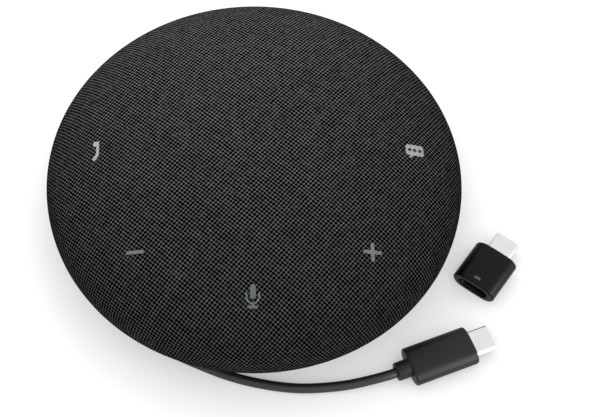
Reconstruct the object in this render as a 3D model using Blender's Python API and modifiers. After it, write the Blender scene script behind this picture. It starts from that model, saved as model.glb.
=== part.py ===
"""Conference speakerphone: a cloth-covered puck with five keys under the cloth, a loudspeaker inside,
a cable wound on a spool under the base, and a loose plug adapter beside it.

Metres, +Z up. The front of the puck faces -Y, and the origin is the middle of the pad it stands on.
Azimuths are in degrees from the front, turning towards +X.
"""

import math

import bmesh
import bpy
import numpy as np
from mathutils import Matrix, Vector

# Clearance between pieces that touch or run in one another
GAP = 0.0003

# Outer skin of the puck
RIM_RADIUS = 0.0640
DOME_HEIGHT = 0.02035
DOME_POWER = 2.4
RIM_RISE = 0.0054
TUCK_REACH = 0.0090
FABRIC_THICK = 0.0008
SHELL_WALL = 0.0018

# Spool under the housing
PAD_THICK = 0.0008
PAD_INSET = 0.0025
PLATE_THICK = 0.0016
PLATE_INSET = 0.0080
SLOT_HEIGHT = 0.0074
SLOT_DEPTH = 0.0080
HUB_WALL = 0.0022
HUB_BOSS_RADIUS = 0.0036

# Lower housing
FLOOR_THICK = 0.0018
CHAMBER_ROOM = 0.0020
LIP_RISE = 0.0015
LIP_WALL = 0.0010
FLOOR_BOSS_RADIUS = 0.0032
FLOOR_BOSS_HEIGHT = 0.0028
POST_RADIUS = 0.0030
POST_HEIGHT = 0.0035
LEAD_HOLE_RADIUS = 0.0040

# Perforated dome
HOLE_RADIUS = 0.0017
HOLE_PITCH = 0.0062
HOLE_RINGS = 3
BOSS_RADIUS = 0.0030
SHELL_SCREW_INSET = 0.0135
SHELL_SCREW_AZIMUTH = 22.5
MIC_PORT_RADIUS = 0.0008

# Keys and their switches
KEY_INSET = 0.0162
KEY_RADIUS = 0.0067
KEY_FLANGE_WIDTH = 0.0015
KEY_FLANGE_THICK = 0.0012
KEY_STEM_RADIUS = 0.0016
KEY_TRAVEL = 0.0007
KEYS = {
    "key_call": -90.0,
    "key_volume_down": -45.0,
    "key_mute": 0.0,
    "key_volume_up": 45.0,
    "key_meeting": 90.0,
}
SWITCH_SIDE = 0.0060
SWITCH_HEIGHT = 0.0035
PLUNGER_RADIUS = 0.0016
PLUNGER_PROUD = 0.0010
PLUNGER_SUNK = 0.0016

# Circuit board and what is on it
BOARD_THICK = 0.0016
BOARD_INSET = 0.0100
BOARD_ROOM = 0.0025
BOARD_POST_INSET = 0.0060
BOARD_POST_AZIMUTH = 67.5
BOARD_PIN_RADIUS = 0.0012
BOARD_PIN_PROUD = 0.0008
PROCESSOR_SIDE = 0.0090
PROCESSOR_THICK = 0.0010
PROCESSOR_INSET = 0.0130
PROCESSOR_AZIMUTH = 180.0
MICS = {"left": -135.0, "right": 135.0}
MIC_SIDE = 0.0038
MIC_THICK = 0.0012
BOOT_RADIUS = 0.0026
HEADER_SIDE = 0.0050
HEADER_HEIGHT = 0.0026

# Loudspeaker, from its chamber upwards
CHAMBER_RADIUS = 0.0290
CHAMBER_WALL = 0.0016
DRIVER_ROOM = 0.00835
CHAMBER_FLANGE_WIDTH = 0.0030
CHAMBER_FLANGE_THICK = 0.0016
CHAMBER_RIM_WIDTH = 0.0060
CHAMBER_RIM_THICK = 0.0024
GASKET_THICK = 0.0008
BASKET_FLANGE_THICK = 0.0014
BASKET_DEPTH = 0.0084
BASKET_FOOT_WIDTH = 0.0046
BASKET_FOOT_THICK = 0.0012
BASKET_WALL = 0.0013
BASKET_WINDOW_WIDTH = 0.0095
BASKET_WINDOWS = 6
TOP_PLATE_THICK = 0.0017
MAGNET_WIDTH = 0.0067
MAGNET_AIR = 0.0016
MAGNET_THICK = 0.0050
YOKE_THICK = 0.0017
POLE_RADIUS = 0.0062
COIL_AIR = 0.0005
COIL_WALL = 0.0005
COIL_REACH = 0.0047
ROLL_WIDTH = 0.0031
CONE_RIM_WIDTH = 0.0014
CONE_DEPTH = 0.0058
CONE_WALL = 0.0006
CAP_OVERHANG = 0.0014
CAP_RISE = 0.0024
CAP_WALL = 0.0005
SURROUND_WALL = 0.0006
SURROUND_FOOT = 0.0020
SPIDER_WALL = 0.0004
SPIDER_WAVE = 0.0005
SPIDER_WAVES = 2

# Screws
SCREW_RADIUS = 0.0012
SCREW_HEAD_RADIUS = 0.0023
SCREW_HEAD_THICK = 0.0009
PLATE_SCREW_HEAD_THICK = 0.0006
SHELL_SCREW_LENGTH = 0.0075

# Cable, wound from the grommet outwards
CABLE_DIAMETER = 0.0030
LAYER_STEP = 0.0036
COLUMN_STEP = 0.0038
GROMMET_AZIMUTH = -35.0
WINDING_ANGLE = math.radians(675.0)
POINTS_PER_LOOP = 24
GROMMET_RADIUS = 0.0023
GROMMET_NOSE_RADIUS = 0.0019
GROMMET_LENGTH = 0.0085
GROMMET_NOSE_REACH = 0.0026
GROMMET_HEIGHT = 0.0046
GROMMET_ANGLE = math.radians(33.0)
WINDING_SETTLE = 0.20
WINDING_RISE = 0.25
LAYER_CHANGE = (0.9 * math.pi, 0.7 * math.pi)
COLUMN_CHANGES = ((1.5 * math.pi, 0.5 * math.pi), (3.4 * math.pi, 0.5 * math.pi))
INNER_LEAD_DIAMETER = 0.0020
INNER_LEAD_BEND = 0.0040

# Free end of the cable, from the winding to the plug's collar.
# Each point is an azimuth in degrees, a reach past the rim and a height over the cable's lie on the table.
LEAD_ROUTE = (
    (-64.02, -0.00668, 0.00300),
    (-54.00, -0.00630, 0.00255),
    (-44.00, -0.00615, 0.00150),
    (-34.00, -0.00612, 0.00060),
    (-27.00, -0.00612, 0.00018),
    (-20.42, -0.00583, 0.00005),
    (-14.35, -0.00512, 0.00005),
    (-8.24, -0.00392, 0.00005),
    (-0.85, -0.00228, 0.00005),
    (7.38, -0.00012, 0.00005),
    (14.50, 0.00186, 0.00005),
    (23.80, 0.00464, 0.00035),
)
LEAD_SPACING = 0.0065

# Plug on the cable. Its rear end has an azimuth in degrees and a reach past the rim
PLUG_REAR = (38.34, 0.00982)
PLUG_HEADING = math.radians(20.9)
PLUG_LENGTH = 0.0202
PLUG_WIDTH = 0.0120
PLUG_THICK = 0.0065
PLUG_CORNER = 0.0028
COLLAR_RADIUS = 0.0028
COLLAR_LENGTH = 0.0042

# Metal shell and contact carrier of both plugs, and the socket that takes one
SHELL_LENGTH = 0.0066
SHELL_WIDTH = 0.00825
SHELL_THICK = 0.0024
SHELL_SHEET = 0.00025
SHELL_SEAT = 0.0030
TONGUE_WIDTH = 0.0066
TONGUE_THICK = 0.0007
TONGUE_LENGTH = 0.0045
TONGUE_ROOT = 0.0020
SOCKET_SHEET = 0.0003
SOCKET_DEPTH = 0.0068

# Loose adapter. Its near end is placed as the plug's rear end is
ADAPTER_NEAR = (64.37, 0.01020)
ADAPTER_HEADING = math.radians(53.0)
ADAPTER_LENGTH = 0.0141
ADAPTER_WIDTH = 0.0143
ADAPTER_THICK = 0.0068
ADAPTER_CORNER = 0.0029
EDGE_ROUND = 0.0006

# Facets
SKIN_STEPS = 40
DOME_RINGS = 8
TUCK_RINGS = 4
TURN_STEPS = 16
BOSS_STEPS = 8
SCREW_STEPS = 8
KEY_STEPS = 18
HOLE_STEPS = 6
BOOT_STEPS = 10
COLLAR_STEPS = 16
BEND_STEPS = 4
ROLL_STEPS = 5
CAP_STEPS = 3
SHARP_ANGLE = math.radians(35.0)

# Radii and circles that follow from the rim
PLATE_RADIUS = RIM_RADIUS - PLATE_INSET
PAD_RADIUS = PLATE_RADIUS - PAD_INSET
HUB_RADIUS = PLATE_RADIUS - SLOT_DEPTH
BASE_SCREW_CIRCLE = HUB_RADIUS - HUB_BOSS_RADIUS - HUB_WALL + GAP
SHELL_SCREW_CIRCLE = RIM_RADIUS - SHELL_SCREW_INSET
KEY_CIRCLE = RIM_RADIUS - KEY_INSET
KEY_FLANGE_RADIUS = KEY_RADIUS + KEY_FLANGE_WIDTH
BOARD_RADIUS = RIM_RADIUS - BOARD_INSET
BOARD_POST_CIRCLE = BOARD_RADIUS - BOARD_POST_INSET
PROCESSOR_CIRCLE = BOARD_RADIUS - PROCESSOR_INSET

# Radii that follow from the loudspeaker's chamber and voice coil
HOUSING_BORE = CHAMBER_RADIUS + CHAMBER_ROOM
BOARD_BORE = CHAMBER_RADIUS + BOARD_ROOM
CHAMBER_FLANGE_RADIUS = CHAMBER_RADIUS + CHAMBER_FLANGE_WIDTH
CHAMBER_MOUTH_RADIUS = CHAMBER_RADIUS - CHAMBER_RIM_WIDTH
BASKET_MOUTH_RADIUS = CHAMBER_MOUTH_RADIUS - 2 * GAP
COIL_RADIUS = POLE_RADIUS + COIL_AIR
COIL_OUTER = COIL_RADIUS + COIL_WALL
MAGNET_BORE = COIL_OUTER + MAGNET_AIR
MAGNET_RADIUS = MAGNET_BORE + MAGNET_WIDTH
BASKET_FOOT_RADIUS = MAGNET_RADIUS + BASKET_WALL
BASKET_FOOT_BORE = BASKET_FOOT_RADIUS - BASKET_FOOT_WIDTH
CONE_RIM_RADIUS = BASKET_MOUTH_RADIUS - ROLL_WIDTH
CAP_BASE_RADIUS = COIL_OUTER + CAP_OVERHANG

# Heights that follow from the stack
PLATE_TOP = PAD_THICK + GAP + PLATE_THICK
SLOT_TOP = PLATE_TOP + SLOT_HEIGHT
FLOOR_TOP = SLOT_TOP + FLOOR_THICK
RIM_Z = SLOT_TOP + RIM_RISE
BOARD_Z = FLOOR_TOP + POST_HEIGHT + GAP
BOARD_TOP = BOARD_Z + BOARD_THICK
SWITCH_TOP = BOARD_TOP + GAP + SWITCH_HEIGHT
CHAMBER_Z = PLATE_TOP + GAP
CHAMBER_TOP = RIM_Z + DOME_HEIGHT - FABRIC_THICK - GAP - SHELL_WALL - DRIVER_ROOM
BASKET_FLANGE_Z = CHAMBER_TOP + GASKET_THICK + 2 * GAP
BASKET_FLANGE_TOP = BASKET_FLANGE_Z + BASKET_FLANGE_THICK
BASKET_Z = BASKET_FLANGE_Z - BASKET_DEPTH
TOP_PLATE_Z = BASKET_Z - GAP - TOP_PLATE_THICK
MAGNET_Z = TOP_PLATE_Z - GAP - MAGNET_THICK
YOKE_Z = MAGNET_Z - GAP - YOKE_THICK
CONE_TOP = BASKET_FLANGE_TOP
CONE_NECK_Z = CONE_TOP - CONE_DEPTH
LOWER_LAYER = PLATE_TOP + GAP + CABLE_DIAMETER / 2
UPPER_LAYER = LOWER_LAYER + LAYER_STEP
WINDING_RADIUS = (HUB_RADIUS + GAP + CABLE_DIAMETER / 2) / math.cos(math.pi / POINTS_PER_LOOP)
GROMMET_Z = PLATE_TOP + GROMMET_HEIGHT

# Screws: the ends of their heads and shanks, and the holes they take
BASE_SCREW_Z = PAD_THICK + GAP
BASE_SCREW_TOP = FLOOR_TOP + FLOOR_BOSS_HEIGHT - 2 * GAP
SHELL_SHOULDER_Z = SLOT_TOP + SCREW_HEAD_THICK
SHELL_SCREW_TOP = SHELL_SHOULDER_Z + SHELL_SCREW_LENGTH
PILOT_RADIUS = SCREW_RADIUS + GAP
SINK_RADIUS = SCREW_HEAD_RADIUS + GAP

# Key wells, and a height above the whole dome for cutters
WELL_RADIUS = KEY_RADIUS + GAP
DOME_REACH = RIM_Z + DOME_HEIGHT + SHELL_WALL

# Depths below the cloth's outer face
SHELL_OUTER = FABRIC_THICK + GAP
SHELL_INNER = SHELL_OUTER + SHELL_WALL
FLANGE_OUTER = SHELL_INNER + GAP
FLANGE_INNER = FLANGE_OUTER + KEY_FLANGE_THICK

for old in list(bpy.data.objects):
    bpy.data.objects.remove(old)

parts = bpy.data.collections.new("speakerphone")
cutters = bpy.data.collections.new("cutters")
bpy.context.scene.collection.children.link(parts)
bpy.context.scene.collection.children.link(cutters)


def around(radius, azimuth, z=0.0):
    angle = math.radians(azimuth)
    return Vector((radius * math.sin(angle), -radius * math.cos(angle), z))


def quarters(azimuth):
    return [azimuth + 90.0 * turn for turn in range(4)]


def smooth_step(x):
    x = min(max(x, 0.0), 1.0)
    return x * x * (3.0 - 2.0 * x)


# Making objects


def material(name, colour, roughness, metallic=0.0):
    made = bpy.data.materials.new(name)
    made.use_nodes = True
    shader = made.node_tree.nodes["Principled BSDF"]
    shader.inputs["Base Color"].default_value = (*colour, 1.0)
    shader.inputs["Roughness"].default_value = roughness
    shader.inputs["Metallic"].default_value = metallic
    return made


CLOTH = ((0.035, 0.035, 0.037), 0.90)
BLACK_ABS = ((0.012, 0.012, 0.013), 0.55)
GREY_ABS = ((0.060, 0.060, 0.062), 0.60)
BLACK_RUBBER = ((0.015, 0.015, 0.015), 0.75)
JACKET = ((0.014, 0.014, 0.015), 0.45)
STEEL = ((0.62, 0.62, 0.63), 0.32, 1.0)
FERRITE = ((0.050, 0.050, 0.055), 0.70)
PAPER = ((0.030, 0.030, 0.032), 0.85)
COPPER = ((0.72, 0.36, 0.18), 0.35, 1.0)
SOLDER_MASK = ((0.010, 0.060, 0.035), 0.50)
CHIP_RESIN = ((0.020, 0.020, 0.022), 0.60)
IVORY_NYLON = ((0.70, 0.67, 0.58), 0.55)


def dressed(obj, finish):
    obj.data.materials.append(material(obj.name, *finish))
    return obj


def keep(name, data, finish):
    obj = bpy.data.objects.new(name, data)
    parts.objects.link(obj)
    return dressed(obj, finish)


def cutter(name, mesh, group=None):
    obj = bpy.data.objects.new(name, mesh)
    (group or cutters).objects.link(obj)
    obj.hide_render = True
    obj.display_type = "WIRE"
    return obj


def cutter_group(name):
    group = bpy.data.collections.new(name)
    cutters.children.link(group)
    group.hide_render = True
    return group


def boolean(obj, operation, other):
    modifier = obj.modifiers.new(operation.title(), "BOOLEAN")
    modifier.operation = operation
    modifier.solver = "EXACT"
    if isinstance(other, bpy.types.Collection):
        modifier.operand_type = "COLLECTION"
        modifier.collection = other
    else:
        modifier.object = other
    return obj


def bevel(obj, width, segments=2):
    weld = obj.modifiers.new("Weld", "WELD")
    weld.merge_threshold = 0.00001
    modifier = obj.modifiers.new("Bevel", "BEVEL")
    modifier.width = width
    modifier.segments = segments
    modifier.limit_method = "ANGLE"
    modifier.angle_limit = SHARP_ANGLE
    return obj


def line_mesh(name, profile):
    on_axis = profile[0][0] < GAP / 10 and profile[-1][0] < GAP / 10
    count = len(profile)
    edges = [(i, i + 1) for i in range(count - 1)]
    if not on_axis:
        edges.append((count - 1, 0))
    mesh = bpy.data.meshes.new(name)
    mesh.from_pydata([(radius, 0.0, z) for radius, z in profile], edges, [])
    return mesh


def turn(obj, steps):
    screw = obj.modifiers.new("Turn", "SCREW")
    screw.angle = math.tau
    screw.steps = steps
    screw.render_steps = steps
    screw.use_merge_vertices = True
    screw.merge_threshold = 0.00001
    screw.use_smooth_shade = False
    return obj


def turned(name, profile, finish, steps=TURN_STEPS):
    return turn(keep(name, line_mesh(name, profile), finish), steps)


def turned_cutter(name, profile, steps, group=None):
    return turn(cutter(name, line_mesh(name, profile), group), steps)


def ring(inner, outer, low, high):
    return [(inner, high), (outer, high), (outer, low), (inner, low)]


def disc(radius, low, high):
    return [(0.0, high), (radius, high), (radius, low), (0.0, low)]


def cylinder_mesh(name, radius, low, high, at, sides, top_radius=None):
    shape = bmesh.new()
    bmesh.ops.create_cone(
        shape,
        cap_ends=True,
        segments=sides,
        radius1=radius,
        radius2=radius if top_radius is None else top_radius,
        depth=high - low,
        matrix=Matrix.Translation((at.x, at.y, (low + high) / 2)),
    )
    mesh = bpy.data.meshes.new(name)
    shape.to_mesh(mesh)
    shape.free()
    return mesh


def box_mesh(name, size, matrix):
    shape = bmesh.new()
    bmesh.ops.create_cube(shape, size=1.0, matrix=matrix @ Matrix.Diagonal((*size, 1.0)))
    mesh = bpy.data.meshes.new(name)
    shape.to_mesh(mesh)
    shape.free()
    return mesh


def facing(azimuth, radius, z):
    """A frame at this place whose X runs round the puck and whose Y runs outwards."""
    place = around(radius, azimuth, z)
    return Matrix.Translation(place) @ Matrix.Rotation(math.radians(azimuth + 180.0), 4, "Z")


def evaluated_mesh(obj):
    bpy.context.view_layer.update()
    mesh = bpy.data.meshes.new_from_object(obj.evaluated_get(bpy.context.evaluated_depsgraph_get()))
    shape = bmesh.new()
    shape.from_mesh(mesh)
    bmesh.ops.remove_doubles(shape, verts=shape.verts, dist=0.000001)
    shape.to_mesh(mesh)
    shape.free()
    return mesh


def copies(names, source, places):
    """One object of the source at each place, sharing its mesh. The source is removed."""
    pattern = evaluated_mesh(source)
    bpy.data.objects.remove(source)
    for name, place in zip(names, places):
        obj = bpy.data.objects.new(name, pattern)
        obj.matrix_world = place
        parts.objects.link(obj)


def shade_pieces():
    """Each piece becomes a plain mesh, smooth on its round faces and sharp at its edges."""
    for obj in parts.objects:
        if obj.type != "MESH":
            continue
        mesh = evaluated_mesh(obj) if obj.modifiers else obj.data
        mesh.shade_smooth()
        mesh.set_sharp_from_angle(angle=SHARP_ANGLE)
        obj.modifiers.clear()
        obj.data = mesh


def axis_empty(name, place, *pieces):
    """An empty on a joint's axis that carries its pieces without moving them."""
    empty = bpy.data.objects.new(name, None)
    empty.location = place
    parts.objects.link(empty)
    bpy.context.view_layer.update()
    for piece in pieces:
        piece.parent = empty
        piece.matrix_parent_inverse = empty.matrix_world.inverted()
    return empty


# Outer skin: a superellipse dome over a quarter-ellipse tuck, offset along its normals


def dome_line(depth):
    points = []
    for i in range(DOME_RINGS + 1):
        angle = math.pi / 2 * (1.0 - i / DOME_RINGS)
        across = max(math.cos(angle), 0.0) ** (2.0 / DOME_POWER)
        up = max(math.sin(angle), 0.0) ** (2.0 / DOME_POWER)
        normal = Vector((across ** (DOME_POWER - 1) / RIM_RADIUS, up ** (DOME_POWER - 1) / DOME_HEIGHT))
        normal.normalize()
        points.append((RIM_RADIUS * across - depth * normal.x, RIM_Z + DOME_HEIGHT * up - depth * normal.y))
    points[0] = (0.0, points[0][1])
    return points


def tuck_line(depth):
    points = []
    for i in range(1, TUCK_RINGS + 1):
        angle = -math.pi / 2 * i / TUCK_RINGS
        normal = Vector((math.cos(angle) / TUCK_REACH, math.sin(angle) / RIM_RISE)).normalized()
        radius = RIM_RADIUS - TUCK_REACH + TUCK_REACH * math.cos(angle)
        points.append((radius - depth * normal.x, RIM_Z + RIM_RISE * math.sin(angle) - depth * normal.y))
    return points


def dome_solid(name, depth):
    line = dome_line(depth)
    rim = line[-1][0]
    return turned_cutter(name, line + [(rim, PLATE_TOP), (0.0, PLATE_TOP)], SKIN_STEPS)


def fabric_cover():
    outer = dome_line(0.0) + tuck_line(0.0)
    inner = dome_line(FABRIC_THICK) + tuck_line(FABRIC_THICK)
    turned("fabric_cover", outer + inner[::-1], CLOTH, SKIN_STEPS)


# Perforated dome with key wells, microphone ports and screw bosses


def grille_dome():
    outer = dome_line(SHELL_OUTER)
    inner = dome_line(SHELL_INNER)
    dome = turned("grille_dome", outer + inner[::-1], BLACK_ABS, SKIN_STEPS)
    bosses = cutter_group("dome_bosses")
    limit = dome_solid("boss_limit", SHELL_OUTER + SHELL_WALL / 2)
    for azimuth in quarters(SHELL_SCREW_AZIMUTH):
        at = around(SHELL_SCREW_CIRCLE, azimuth)
        mesh = cylinder_mesh("dome_boss", BOSS_RADIUS, FLOOR_TOP + GAP, DOME_REACH, at, BOSS_STEPS)
        boolean(cutter("dome_boss", mesh, bosses), "INTERSECT", limit)
    boolean(dome, "UNION", bosses)
    holes = cutter_group("dome_holes")
    for azimuth in quarters(SHELL_SCREW_AZIMUTH):
        at = around(SHELL_SCREW_CIRCLE, azimuth)
        top = SHELL_SCREW_TOP + GAP
        cutter("pilot", cylinder_mesh("pilot", PILOT_RADIUS, SLOT_TOP, top, at, SCREW_STEPS), holes)
    for azimuth in KEYS.values():
        at = around(KEY_CIRCLE, azimuth)
        cutter("well", cylinder_mesh("well", WELL_RADIUS, BOARD_TOP, DOME_REACH, at, KEY_STEPS), holes)
    for azimuth in MICS.values():
        at = around(KEY_CIRCLE, azimuth)
        cutter("port", cylinder_mesh("port", MIC_PORT_RADIUS, BOARD_TOP, DOME_REACH, at, HOLE_STEPS), holes)
    cutter("hole", cylinder_mesh("hole", HOLE_RADIUS, RIM_Z, DOME_REACH, Vector(), HOLE_STEPS), holes)
    for row in range(1, HOLE_RINGS + 1):
        for i in range(6 * row):
            at = around(row * HOLE_PITCH, 60.0 * i / row)
            cutter("hole", cylinder_mesh("hole", HOLE_RADIUS, RIM_Z, DOME_REACH, at, HOLE_STEPS), holes)
    boolean(dome, "DIFFERENCE", holes)


# Lower housing: a dish behind the tucked cloth, with posts, bosses and screw holes


def lower_housing():
    edge = RIM_RADIUS - TUCK_REACH - GAP
    wall_inside = tuck_line(SHELL_INNER)[1:]
    flat = SHELL_SCREW_CIRCLE + BOSS_RADIUS + GAP
    lip_outer = RIM_RADIUS - SHELL_INNER - 2 * GAP
    lip_inner = lip_outer - LIP_WALL
    profile = [(lip_inner, RIM_Z + LIP_RISE), (lip_outer, RIM_Z + LIP_RISE), (lip_outer, RIM_Z - GAP)]
    profile += [(RIM_RADIUS - SHELL_OUTER, RIM_Z - GAP)] + tuck_line(SHELL_OUTER)
    profile += [(edge, SLOT_TOP + SHELL_OUTER), (edge, SLOT_TOP)]
    profile += [(HOUSING_BORE, SLOT_TOP), (HOUSING_BORE, FLOOR_TOP), (flat, FLOOR_TOP)]
    profile += wall_inside[::-1]
    housing = turned("lower_housing", profile, BLACK_ABS, SKIN_STEPS)
    posts = cutter_group("housing_posts")
    middle = SLOT_TOP + FLOOR_THICK / 2
    for azimuth in quarters(BOARD_POST_AZIMUTH):
        at = around(BOARD_POST_CIRCLE, azimuth)
        cutter("post", cylinder_mesh("post", POST_RADIUS, middle, BOARD_Z - GAP, at, BOSS_STEPS), posts)
        top = BOARD_TOP + BOARD_PIN_PROUD
        cutter("pin", cylinder_mesh("pin", BOARD_PIN_RADIUS, FLOOR_TOP, top, at, SCREW_STEPS), posts)
    for azimuth in quarters(0.0):
        at = around(BASE_SCREW_CIRCLE, azimuth)
        top = FLOOR_TOP + FLOOR_BOSS_HEIGHT
        cutter("boss", cylinder_mesh("boss", FLOOR_BOSS_RADIUS, middle, top, at, BOSS_STEPS), posts)
    boolean(housing, "UNION", posts)
    holes = cutter_group("housing_holes")
    for azimuth in quarters(0.0):
        at = around(BASE_SCREW_CIRCLE, azimuth)
        top = BASE_SCREW_TOP + GAP
        cutter("pilot", cylinder_mesh("pilot", PILOT_RADIUS, PLATE_TOP, top, at, SCREW_STEPS), holes)
    for azimuth in quarters(SHELL_SCREW_AZIMUTH):
        at = around(SHELL_SCREW_CIRCLE, azimuth)
        cutter("way", cylinder_mesh("way", PILOT_RADIUS, PLATE_TOP, BOARD_TOP, at, SCREW_STEPS), holes)
        sink = cylinder_mesh("sink", SINK_RADIUS, PLATE_TOP, SHELL_SHOULDER_Z + GAP, at, SCREW_STEPS)
        cutter("sink", sink, holes)
    at = header_place()
    cutter("way", cylinder_mesh("way", LEAD_HOLE_RADIUS, PLATE_TOP, BOARD_TOP, at, BOSS_STEPS), holes)
    boolean(housing, "DIFFERENCE", holes)


# Spool: hub, lower flange and pad


def exit_frame():
    """Where the cable crosses the hub wall: X runs out along the cable, Z up."""
    azimuth = GROMMET_AZIMUTH
    radial = around(1.0, azimuth)
    along = around(1.0, azimuth + 90.0)
    way = along * math.cos(GROMMET_ANGLE) + radial * math.sin(GROMMET_ANGLE)
    side = Vector((0.0, 0.0, 1.0)).cross(way)
    place = radial * (HUB_RADIUS - HUB_WALL / 2)
    frame = Matrix((way, side, Vector((0.0, 0.0, 1.0)))).transposed().to_4x4()
    frame.translation = place + Vector((0.0, 0.0, GROMMET_Z))
    return frame


def header_place():
    frame = exit_frame()
    back = GROMMET_LENGTH - GROMMET_NOSE_REACH + GAP + INNER_LEAD_DIAMETER + INNER_LEAD_BEND
    return frame @ Vector((-back, 0.0, 0.0))


def cable_hub():
    low, high = PLATE_TOP + GAP, SLOT_TOP - GAP
    hub = turned("cable_hub", ring(HUB_RADIUS - HUB_WALL, HUB_RADIUS, low, high), BLACK_ABS, SKIN_STEPS)
    bosses = cutter_group("hub_bosses")
    holes = cutter_group("hub_holes")
    for azimuth in quarters(0.0):
        at = around(BASE_SCREW_CIRCLE, azimuth)
        cutter("boss", cylinder_mesh("boss", HUB_BOSS_RADIUS, low, high, at, BOSS_STEPS), bosses)
        cutter("way", cylinder_mesh("way", PILOT_RADIUS, PAD_THICK, FLOOR_TOP, at, SCREW_STEPS), holes)
    boolean(hub, "UNION", bosses)
    width = 2 * (GROMMET_RADIUS + GAP)
    length = 2 * GROMMET_LENGTH
    sill = GROMMET_Z - GROMMET_RADIUS - GAP
    notch = exit_frame()
    notch.translation.z = (sill + RIM_Z) / 2
    cutter("notch", box_mesh("notch", (length, width, RIM_Z - sill), notch), holes)
    boolean(hub, "DIFFERENCE", holes)


def base_plate():
    low = PAD_THICK + GAP
    plate = turned("base_plate", disc(PLATE_RADIUS, low, PLATE_TOP), BLACK_ABS, SKIN_STEPS)
    holes = cutter_group("plate_holes")
    for azimuth in quarters(0.0):
        at = around(BASE_SCREW_CIRCLE, azimuth)
        recess = BASE_SCREW_Z + PLATE_SCREW_HEAD_THICK + GAP
        cutter("way", cylinder_mesh("way", PILOT_RADIUS, 0.0, SLOT_TOP, at, SCREW_STEPS), holes)
        cutter("sink", cylinder_mesh("sink", SINK_RADIUS, 0.0, recess, at, SCREW_STEPS), holes)
    boolean(plate, "DIFFERENCE", holes)


def base_pad():
    turned("base_pad", disc(PAD_RADIUS, 0.0, PAD_THICK), BLACK_RUBBER, SKIN_STEPS)


# Screws: a flat head under a plain shank, driven from below


def screws(name, circle, azimuths, head, shoulder, tip):
    profile = [(0.0, tip), (SCREW_RADIUS, tip), (SCREW_RADIUS, shoulder), (SCREW_HEAD_RADIUS, shoulder)]
    profile += [(SCREW_HEAD_RADIUS, head), (0.0, head)]
    source = turned(name, profile, STEEL, SCREW_STEPS)
    names = [f"{name}_{i + 1}" for i in range(len(azimuths))]
    copies(names, source, [Matrix.Translation(around(circle, azimuth)) for azimuth in azimuths])


def all_screws():
    shoulder = BASE_SCREW_Z + PLATE_SCREW_HEAD_THICK
    screws("base_screw", BASE_SCREW_CIRCLE, quarters(0.0), BASE_SCREW_Z, shoulder, BASE_SCREW_TOP)
    azimuths = quarters(SHELL_SCREW_AZIMUTH)
    screws("shell_screw", SHELL_SCREW_CIRCLE, azimuths, SLOT_TOP, SHELL_SHOULDER_Z, SHELL_SCREW_TOP)


# Keys: a cap flush with the dome, a flange under it, and a stem down to the switch


def key(name, azimuth, top_limit, flange_limit, hollow):
    at = around(KEY_CIRCLE, azimuth)
    cap = keep(name, cylinder_mesh(name, KEY_RADIUS, SWITCH_TOP, DOME_REACH, at, KEY_STEPS), GREY_ABS)
    boolean(cap, "INTERSECT", top_limit)
    mesh = cylinder_mesh("flange", KEY_FLANGE_RADIUS, SWITCH_TOP, DOME_REACH, at, KEY_STEPS)
    flange = boolean(cutter("flange", mesh), "INTERSECT", flange_limit)
    boolean(cap, "UNION", flange)
    boolean(cap, "DIFFERENCE", hollow)
    plunger_top = SWITCH_TOP + PLUNGER_PROUD
    stem_top = key_floor(KEY_CIRCLE) + KEY_FLANGE_THICK
    stem = cylinder_mesh("stem", KEY_STEM_RADIUS, plunger_top + GAP, stem_top, at, BOSS_STEPS)
    boolean(cap, "UNION", cutter("stem", stem))
    low = SWITCH_TOP - PLUNGER_SUNK
    mesh = cylinder_mesh("plunger", PLUNGER_RADIUS, low, plunger_top, at, BOSS_STEPS)
    plunger = keep(name + "_plunger", mesh, IVORY_NYLON)
    axis_empty(name + "_axis", at + Vector((0.0, 0.0, plunger_top)), cap, plunger)


def key_floor(radius):
    """Height of the key flange's underside at this radius."""
    line = dome_line(FLANGE_INNER)
    return float(np.interp(radius, [point[0] for point in line], [point[1] for point in line]))


def keys():
    top_limit = dome_solid("key_top", SHELL_OUTER)
    flange_limit = dome_solid("key_flange", FLANGE_OUTER)
    hollow = dome_solid("key_hollow", FLANGE_INNER)
    for name, azimuth in KEYS.items():
        key(name, azimuth, top_limit, flange_limit, hollow)


# Circuit board and its components


def main_board():
    board = turned("main_board", ring(BOARD_BORE, BOARD_RADIUS, BOARD_Z, BOARD_TOP), SOLDER_MASK, SKIN_STEPS)
    holes = cutter_group("board_holes")
    for azimuth in quarters(SHELL_SCREW_AZIMUTH):
        at = around(SHELL_SCREW_CIRCLE, azimuth)
        cutter("way", cylinder_mesh("way", BOSS_RADIUS + GAP, FLOOR_TOP, SWITCH_TOP, at, BOSS_STEPS), holes)
    for azimuth in quarters(BOARD_POST_AZIMUTH):
        at = around(BOARD_POST_CIRCLE, azimuth)
        hole = BOARD_PIN_RADIUS + GAP
        cutter("way", cylinder_mesh("way", hole, FLOOR_TOP, SWITCH_TOP, at, SCREW_STEPS), holes)
    boolean(board, "DIFFERENCE", holes)


def switches():
    size = (SWITCH_SIDE, SWITCH_SIDE, SWITCH_HEIGHT)
    place = Matrix.Translation((0.0, 0.0, SWITCH_TOP - SWITCH_HEIGHT / 2))
    source = keep("switch", box_mesh("switch", size, place), CHIP_RESIN)
    floor = SWITCH_TOP - PLUNGER_SUNK - KEY_TRAVEL - GAP
    mesh = cylinder_mesh("bore", PLUNGER_RADIUS + GAP, floor, DOME_REACH, Vector(), BOSS_STEPS)
    boolean(source, "DIFFERENCE", cutter("bore", mesh))
    names = [name + "_switch" for name in KEYS]
    copies(names, source, [facing(azimuth, KEY_CIRCLE, 0.0) for azimuth in KEYS.values()])


def audio_processor():
    size = (PROCESSOR_SIDE, PROCESSOR_SIDE, PROCESSOR_THICK)
    place = facing(PROCESSOR_AZIMUTH, PROCESSOR_CIRCLE, BOARD_TOP + GAP + PROCESSOR_THICK / 2)
    keep("audio_processor", box_mesh("audio_processor", size, place), CHIP_RESIN)


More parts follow.
